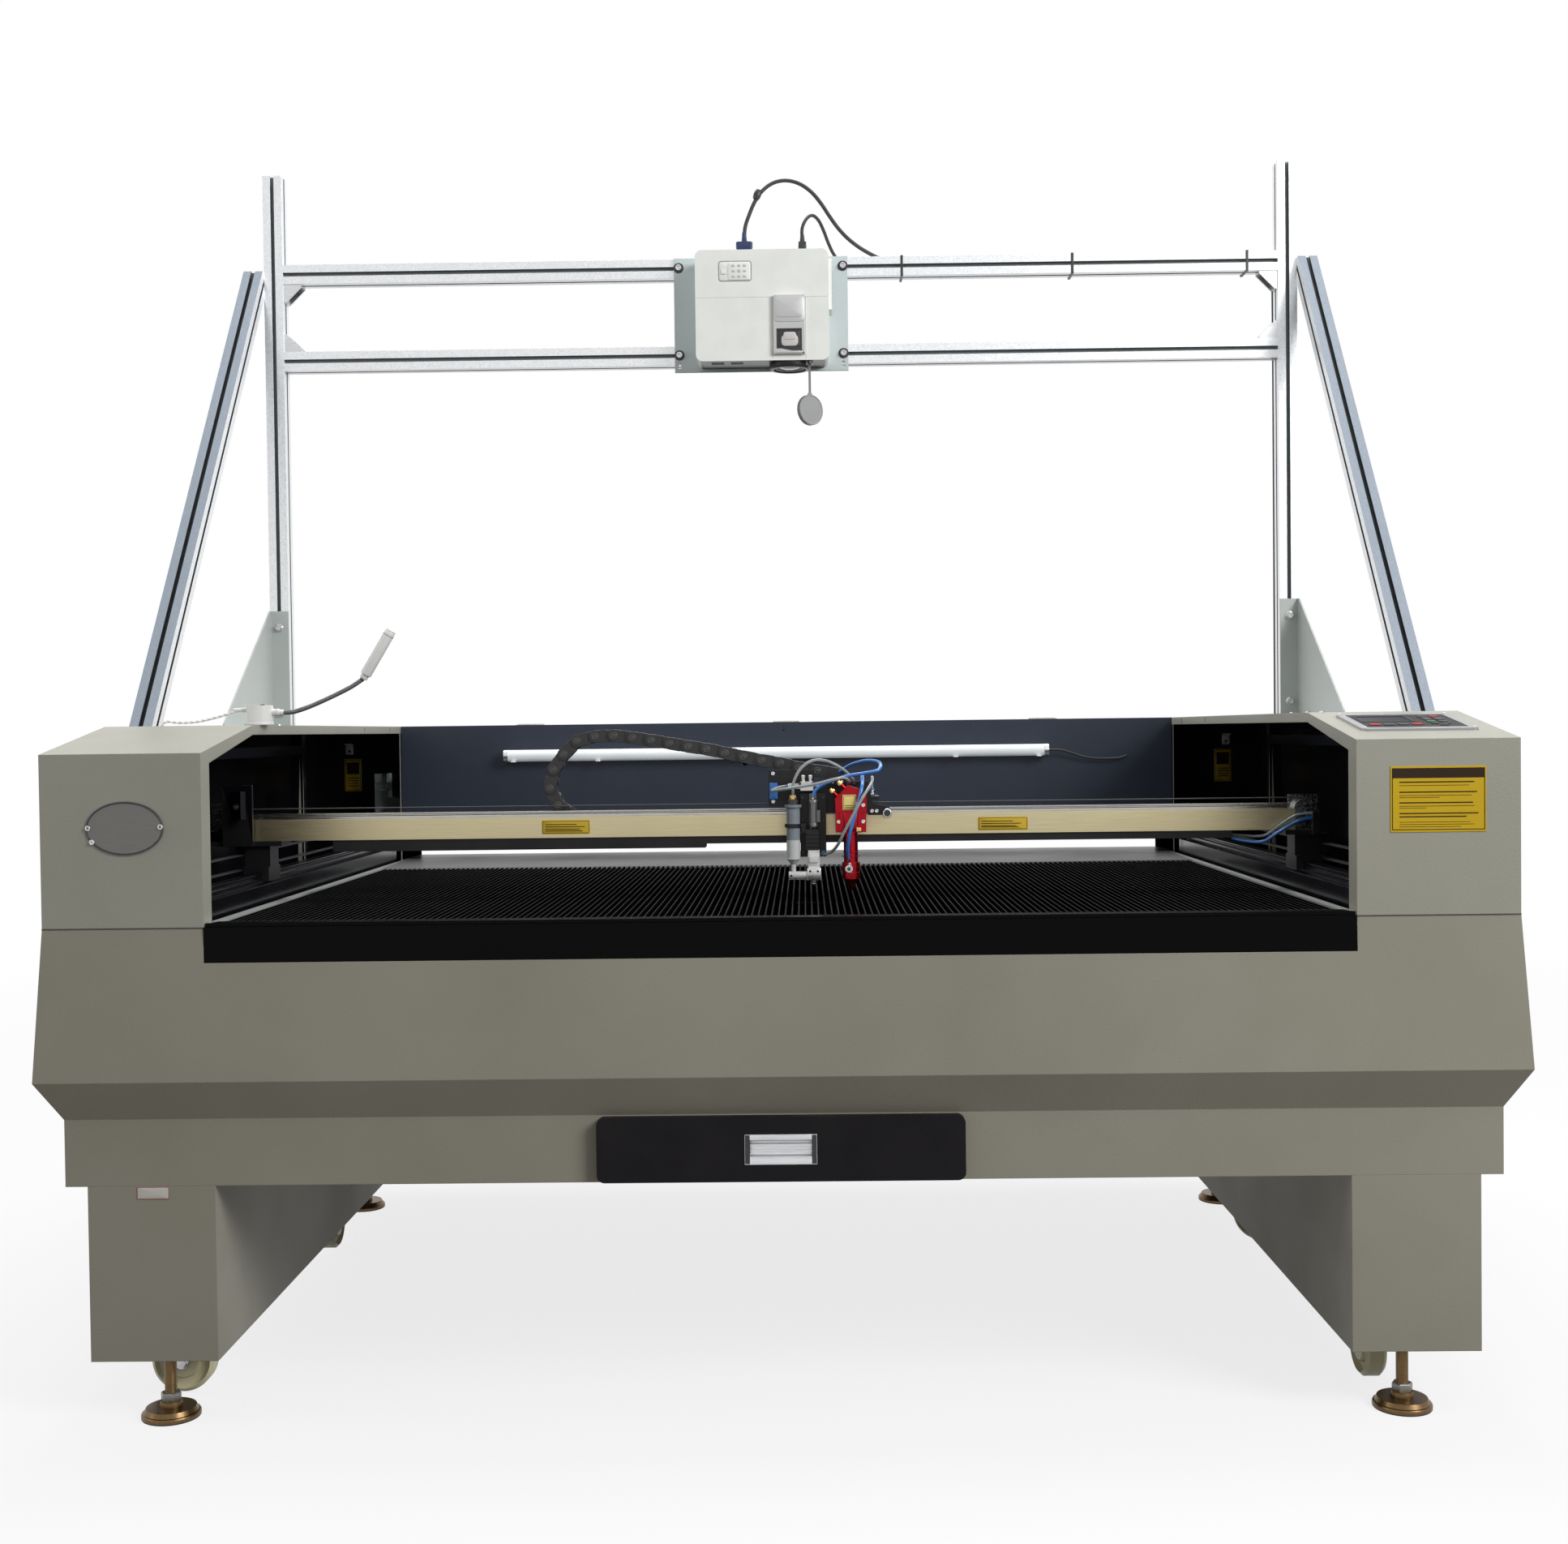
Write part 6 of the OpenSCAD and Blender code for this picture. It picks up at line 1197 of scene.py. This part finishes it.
parts += [(slab((x - 3.4, 1026.7, z - 2.2), (x + 3.4, 1028, z + 2.2), 1.6, 0.4, 1), key_pale)
          for x, z in ((-80.5, 2006), (-80.5, 1984), (-92, 1995), (-69, 1995), (-92, 2006), (-69, 2006),
                       (-92, 1984), (-69, 1984))]
parts += [(lathe([(3.6, 0), (3.6, 0.8), (3, 1.3), (0.05, 1.3)], FORWARD, (-80.5, 1028, 1995), 20),
           key_pale)]
parts += [(slab((-10.6, 1019.6, 1888), (52.6, 1029.4, 1943.4), 9, 3, 1), hood_silver),
          (slab((-7, 1018.8, 1898), (49, 1021, 1938), 7, 1, 1), hood_silver),
          (slab((-7.4, 1019.8, 1825.5), (49.4, 1022, 1829.6), 1.5, 0.6, 1), hood_silver)]
parts += all_in(dark_steel, framed(-5, 47, 1834.5, 1875.5, 1020.9, 3.2))
parts += [(slab((-1.6, 1021.2, 1838), (43.6, 1024.9, 1872), 2, 0.4, 1), ring_black_and_underside_shade),
          (slab((5, 1020.3, 1839.5), (39, 1024, 1862), 7, 2.4, 1), pearl),
          (slab((9, 1019.4, 1852), (35, 1023, 1868), 5, 2, 1), pearl)]
parts += [(lathe([(42, 0.3), (42, 8.5), (41, 11), (38.7, 12.2), (38.6, 0.5)], DOWN, LENS, 56),
           machine_black),
          (lathe([(30.5, 5), (30.5, 9.4), (29.6, 10), (28.6, 9.4), (28.4, 5)], DOWN, LENS, 48),
           hood_silver),
          (lathe([(28.4, 5), (28, 8), (23.6, 7), (23, 5.6)], DOWN, LENS, 48), ring_black_and_underside_shade),
          (lathe([(22.6, 5), (22, 7), (17, 9.4), (9, 10.8), (0.05, 11.2)], DOWN, LENS, 48),
           lens_glass)]
parts += [(box((x, y, 1811.6), (x + 26, y + 2.2, 1812.2)), slit_dark)
          for x in (-140, -100) for y in (1046, 1054, 1062)]
parts += [(box((103, 1044, z), (110.4, 1102, z + 2.2)), slit_dark) for z in np.arange(1924, 2016, 9)]
piece("projector_details", parts, "root")

# %% Plugs, strain reliefs and the bead on the video lead
def relief(at, axis, r0, r1, length, rings=6):
    """A tapered strain relief with ribs: rings that swing between full and reduced radius."""
    h = np.linspace(0, length, rings * 3)
    r = np.linspace(r0, r1, rings * 3) * (1 - 0.12 * (np.arange(rings * 3) % 3 == 1))
    return lathe(np.stack([r, h], -1), axis, at, 20)


parts = [(slab((-86, 1058, 2040), (-54, 1074, 2056), 3, 1.2, 2), plug_navy),
         (slab((-80, 1059.5, 2055), (-60, 1072.5, 2064), 4, 1.2, 2), plug_navy),
         (relief((-70, 1066, 2062.8), UP, 6, 4.4, 20), plug_navy)]
for x in (-83.4, -56.6):
    parts += [(knurled(3.6, 14, (x, 1066, 2050), UP, 12), plug_navy)]
parts += [(slab((41.6, 1057.6, 2039.4), (58.4, 1072.4, 2056), 3, 1.2, 2), black_plastic),
          (relief((50, 1065, 2055), UP, 6.4, 3.9, 22), black_plastic)]
bead = lathe([(3.9, -11), (6, -10), (7.6, -5), (8.1, 0), (7.6, 5), (6, 10), (3.9, 11)],
             (0.36, 0.09, 0.93), (-42, 1075.3, 2163), 24)
parts += [(bead, black_plastic)]
piece("projector_plugs", parts, "root")

# %% Bolts and washers of the projector's plate, and the face of the lens cap
parts = []
for x in (-210, 134):
    for z in (2024, 1842):
        parts += [(lathe([(10.6, 0), (10.6, 1.2), (10, 1.7), (0.05, 1.7)], FORWARD, (x, 1114, z), 30),
                   dark_steel),
                  (screw_head(6.6, 6.4, (x, 1112.4, z), sides=24), bright_steel)]
piece("projector_plate_bolts", parts, "root")
CAP = (62, 1050, 1713)         # middle of the hanging lens cap
face = (math.sin(math.radians(40)), -math.cos(math.radians(40)), 0)
parts = [(lathe([(31, 3.4), (31.2, 4.2), (30.4, 5.4), (28.8, 5.4), (28.2, 4.4), (20, 4.6), (12, 5.6),
                 (0.05, 6.2)],
                face, CAP, 48), cap_clear),
         (lathe([(31, -3.4), (31.2, -4.2), (30.4, -5.2), (28.6, -5.2), (28, -4.4), (0.05, -4.4)][::-1],
                face, CAP, 48), cap_clear),
         (slab((57, 1047.6, 1738), (67, 1052.4, 1748), 2, 0.8, 1), cap_clear)]
piece("lens_cap_face", parts, "cap")

# %% [markdown]
# The slotted frame's small parts
# -------------------------------
# Slotted profile is joined by cast corner brackets and bolts that grip nuts inside the slots. Only
# the bolts' low round heads and their washers show, and only those are drawn.

# %% Bracket bolts, corner plate bolts and washers
post_side = POST_X - 20
parts = []
for s in (-1, 1):
    for z0, up in ((LOW_BAR_Z + 20, 1), (HIGH_BAR_Z - 20, -1)):
        parts += [(screw_head(5.6, 4, (s * (post_side - 24), POST_Y, z0 + up * 9.2), (0, 0, up), 20),
                   dark_steel),
                  (screw_head(5.6, 4, (s * (post_side - 9.2), POST_Y, z0 + up * 24), (-s, 0, 0), 20),
                   dark_steel)]
    for z in (30, 210):
        parts += [(lathe([(9, 0), (9, 1.4), (8.4, 1.8), (0.05, 1.8)], FORWARD,
                         (s * POST_X, 1117, ROOF_Z + z), 28), bright_steel),
                  (screw_head(6.8, 5.6, (s * POST_X, 1115.2, ROOF_Z + z), sides=22), bright_steel)]
    parts += screws(bright_steel, 5.4, 3.6, [(s * (post_side + 14), y, ROOF_Z + 3) for y in (1080, 960, 860)],
                    UP, 20)
piece("frame_bolts", parts, "root")

# %% [markdown]
# The control panel is a metal frame with one film over keys and display. The keys stand
# a fraction of a millimetre proud. Coloured ones start and stop the job; the rest are grey.

# %% Keys of the control panel
def on_slope(shape):
    """A shape given across, up the slope and off the sheet, carried into the machine's own axes."""
    x, y, z = shape[0].T
    y = y + 150
    return (np.stack([x + 992, y * math.cos(slope) - z * math.sin(slope),
                      1029 + y * math.sin(slope) + z * math.cos(slope)], -1), *shape[1:])


def key(u, v, w, h, low=4.2, high=5.1):
    """A round-cornered key laid on the slope."""
    return on_slope(slab((u - w / 2, v - h / 2, low), (u + w / 2, v + h / 2, high), 2.6, 0.5, 2))


parts = []
for i in range(4):
    for j in range(2):
        finish = {(1, 0): key_red, (2, 1): key_green}.get((i, j), key_grey)
        parts.append((key(36 + 19 * (i % 2), 36 - 18 * j - 30 * (i // 2), 13.4, 10.4), finish))
    parts.append((key(-60 + 22 * i, -38, 16.4, 12.4), key_red if i % 3 == 0 else key_grey))
for u, v in ((36, -30), (55, -30), (45.5, -46)):
    parts.append((key(u, v, 12, 9), key_grey))
for low, high in (((-71, -10, 3.6), (-68.6, 46, 4.6)), ((8.6, -10, 3.6), (11, 46, 4.6)),
                  ((-71, -10, 3.6), (11, -7.6, 4.6)), ((-71, 43.6, 3.6), (11, 46, 4.6))):
    parts.append((on_slope(box(low, high)), key_grey))
for u in (-84, 84):
    for v in (-69, 69):
        parts.append((on_slope(screw_head(3, 1.4, (u, v, 4), UP, 16)), bright_steel))
piece("control_panel_keys", parts, "root")

# %% [markdown]
# The work lamp
# -------------
# A gooseneck is a steel spiral hose: its radius swells once for every turn of the spiral, so it
# is a tube whose radius is a fast wave along the path.

# %% Gooseneck, lamp head and switch marks
neck = smooth_path([[-845, 330, 1093], [-838, 330, 1093], [-818, 330, 1094], [-790, 330, 1103],
                    [-755, 330, 1118], [-722, 330, 1134], [-701, 330, 1147.4]], 241, 2)
ribs = 3.75 + 0.45 * np.cos(np.arange(241) * math.pi / 2)
axis = (math.sin(math.radians(31)), 0, math.cos(math.radians(31)))
base = np.array([-700, 330, 1148])
ahead = np.array(axis)
parts = [(tube(neck, ribs, 14), goose_grey),
         (lathe([(6.4, 0), (6.4, 3), (5.2, 5), (4.2, 12)], (1, 0, 0), (-847, 330, 1093), 24),
          white_plastic),
         (lathe([(6.3, 1), (6.6, 3), (6.6, 7), (8.9, 8.5), (9.3, 11), (9.3, 86), (8.6, 92), (6, 95.5),
                 (0.05, 96.5)],
                axis, base, 32), white_plastic),
         (lathe([(9.3, 0), (9.5, 0.3), (9.5, 1.2), (9.3, 1.5)], axis, base + ahead * 84, 32), seam_grey)]
piece("gooseneck", parts, "root")
parts = [(lathe([(22.3, 0), (22.9, 1), (22.9, 3), (22.2, 4.2)], UP, (-876, 330, 1072.2), 40),
          white_plastic),
         (lathe([(22.1, 28.6), (21.6, 31.6), (20.2, 33.2)], UP, (-876, 330, 1072), 40), white_plastic)]
parts += [(relief((-898, 330, 1098), (-1, 0, 0), 4.4, 3.0, 22), white_plastic)]
piece("lamp_base_details", parts, "root")

# %% [markdown]
# Feet and castors
# ----------------
# A levelling foot is a plate on a threaded rod with nuts. The thread isn't a helix: rings of a
# slightly larger radius every 2.5 mm show the same at this size and stay closed. The castor's fork
# gets its axle bolt, its nut and the rim of its swivel bearing.

# %% Threads, foot rims and castor fittings
pedestal_feet = [(x, y, 0) for x in (-952, 952) for y in (55, 1315)]
thread = [(0.05, 38)] + [(9.05 + 0.4 * (k % 2), 38 + 1.25 * k) for k in range(68)] + [(0.05, 122)]
one_foot = [(lathe(thread, UP, (0, 0, 0), 20), zinc_yellow),
            (lathe([(44.4, 1), (45, 3), (45, 6.4), (43.6, 8.6), (41.2, 9.4)], UP, (0, 0, 0), 44),
             zinc_yellow),
            (lathe([(44.2, 0.02), (44.8, 0.8), (44.8, 2.4), (44.2, 3)], UP, (0, 0, 0), 44), rubber),
            (lathe([(17.2, 15.6), (17.6, 19), (16.4, 24), (12, 27)], UP, (0, 0, 0), 32), zinc_yellow),
            (hexagon(16, 13, (0, 0, 25.5)), fork_zinc)]
piece("foot_details", [(copies(shape, pedestal_feet), finish) for shape, finish in one_foot],
      "root")


CASTOR_X = 938                # the castors' stems, from mid width


def castor_parts(side, depth, heading):
    """Axle bolt, nut, bearing rim and rivets of one castor, turned to its heading."""
    a = math.radians(heading)
    turn_z = np.array([[math.cos(a), math.sin(a), 0], [-math.sin(a), math.cos(a), 0], [0, 0, 1]])
    made = []
    for s in (-1, 1):
        made += [(hexagon(8.5, 5.5, (25, s * 21, 56), (0, s, 0)), bright_steel),
                 (lathe([(11, 0), (11, 1), (10.4, 1.4), (0.05, 1.4)], (0, s, 0), (25, s * 21, 56), 24),
                  bright_steel)]
    made += [(lathe([(26, 0), (28, 1.6), (28, 4), (25, 7), (20, 9)], UP, (0, 0, 115.4), 36), fork_zinc),
             (lathe([(14, 0), (14, 3), (12, 4)], UP, (0, 0, 124.6), 28), bright_steel)]
    move = np.array([side * CASTOR_X, depth, 0])
    return moved(made, turn_z, move)


for corner, side, depth, heading in (("front_left", -1, 157, 180), ("front_right", 1, 157, 90),
                                     ("rear_left", -1, 1000, -90), ("rear_right", 1, 1000, -40)):
    piece("castor_bolts_" + corner, castor_parts(side, depth, heading), "castor_" + corner)

# %% [markdown]
# Inside the housings
# -------------------
# Little is seen in the dark sides of the bed: a marker plate and the white angle above it in each
# rear corner, and the clips under the light tube.

# %% Plates and angles in the rear corners, and clips
parts = []
for s in (-1, 1):
    a, b = sorted((s * 1001, s * 1040))
    parts += [(slab((a, 1556.6, 922), (b, 1557.6, 998), 1.5, 0.2, 1), bright_plate)]
    parts += all_in(print_brown, framed(a + 2, b - 2, 924, 996, 1556.6, 1.2))
    parts += [(box((a + 6, 1556.4, z), (b - 6, 1556.6, z + 1.6)), print_brown)
              for z in (934, 940, 946, 952)]
    parts += [(box((a + 5, 1556.3, 962), (b - 5, 1556.6, 990)), print_brown)]
    mid = s * 1028
    parts += [(slab((mid - 9, 1555.6, 1008), (mid + 9, 1557.8, 1034), 2, 0.6, 1), white_plastic),
              (slab((mid - 9, 1540, 1031), (mid + 9, 1557.8, 1034), 2, 0.6, 2), white_plastic),
              (screw_head(3, 1.6, (mid, 1555.6, 1016), sides=16), dark_steel)]
for x in (-610, -420, -22, 380, 566):
    parts += [(slab((x - 5, 1345.5, 988.5), (x + 5, 1382.6, 991), 1, 0.6, 0), white_plastic)]
piece("corner_plates", parts, "root")

# %% [markdown]
# Studio
# ------
# The machine stands on a plain pale floor under soft light. One large lamp high at the front right
# is the main one, a weak one far to the left lights the faces that look that way, and one overhead
# lights the roofs. The white of the floor and behind it is seen only by the camera and by
# reflections. For light that bounces on, the floor is darker, so the undersides stay in shade.

# %% Floor, lamps and background
def seen_rays(tree):
    """1 for a ray that comes from the camera, a reflection or a clear piece, and 0 for the rest."""
    ray = add(tree, "LightPath").outputs
    seen = calc(tree, "MAXIMUM", ray["Is Camera Ray"], ray["Is Glossy Ray"])
    return calc(tree, "MAXIMUM", seen, ray["Is Transmission Ray"])


floor_mesh = bpy.data.meshes.new("studio_floor")
floor_mesh.from_pydata([(-14, -9, 0), (14, -9, 0), (14, 30, 0), (-14, 30, 0)], [], [(0, 1, 2, 3)])
floor = bpy.data.objects.new("studio_floor", floor_mesh)
bpy.context.collection.objects.link(floor)
pale = bpy.data.materials.new("pale_floor")
pale.use_nodes = True
tree = pale.node_tree
shader = tree.nodes["Principled BSDF"]
set_shader(shader, Roughness=0.9, Specular_IOR_Level=0.1)
white = add(tree, "Emission", {"Color": (1, 1, 1, 1), "Strength": 1.0})
tree.links.new(blended(tree, add(tree, "LightPath").outputs["Is Camera Ray"], (0.14, 0.135, 0.125, 1),
                       (0.8, 0.8, 0.8, 1)),
               shader.inputs["Base Color"])
far = add(tree, "VectorMath", {0: add(tree, "TexCoord").outputs["Object"]},
          operation="LENGTH").outputs["Value"]
share = calc(tree, "MULTIPLY", seen_rays(tree), spread(tree, far, 1.2, 6.0, 0.8, 1.0))
mixed = add(tree, "MixShader", {0: share, 1: shader.outputs[0], 2: white.outputs[0]})
tree.links.new(mixed.outputs[0], tree.nodes["Material Output"].inputs["Surface"])
floor_mesh.materials.append(pale)

sky = bpy.data.worlds.new("studio")
bpy.context.scene.world = sky
sky.use_nodes = True
tree = sky.node_tree
tree.nodes["Background"].inputs["Color"].default_value = (1, 1, 1, 1)
tree.links.new(spread(tree, seen_rays(tree), 0, 1, 0.36, 1.0),
               tree.nodes["Background"].inputs["Strength"])


def lamp(name, place, aim, size, power):
    """A square area lamp at place, turned to aim, in metres and watts."""
    light = bpy.data.lights.new(name, "AREA")
    light.size = size
    light.energy = power
    obj = bpy.data.objects.new(name, light)
    bpy.context.collection.objects.link(obj)
    obj.location = place
    obj.rotation_euler = (Vector(aim) - Vector(place)).to_track_quat("-Z", "Y").to_euler()
    return obj


lamp("main_lamp", (3.9, -3.5, 3.5), (0.2, 0, 0.9), 2.2, 225)
lamp("left_lamp", (-4.6, -1.2, 2.4), (-0.2, 0, 0.9), 2.0, 42)
lamp("top_lamp", (0.0, 1.3, 4.8), (0, 0.1, 0.9), 3.0, 190)
bpy.context.scene.view_settings.view_transform = "Standard"
print("studio: one floor and", len(bpy.data.lights), "lamps")
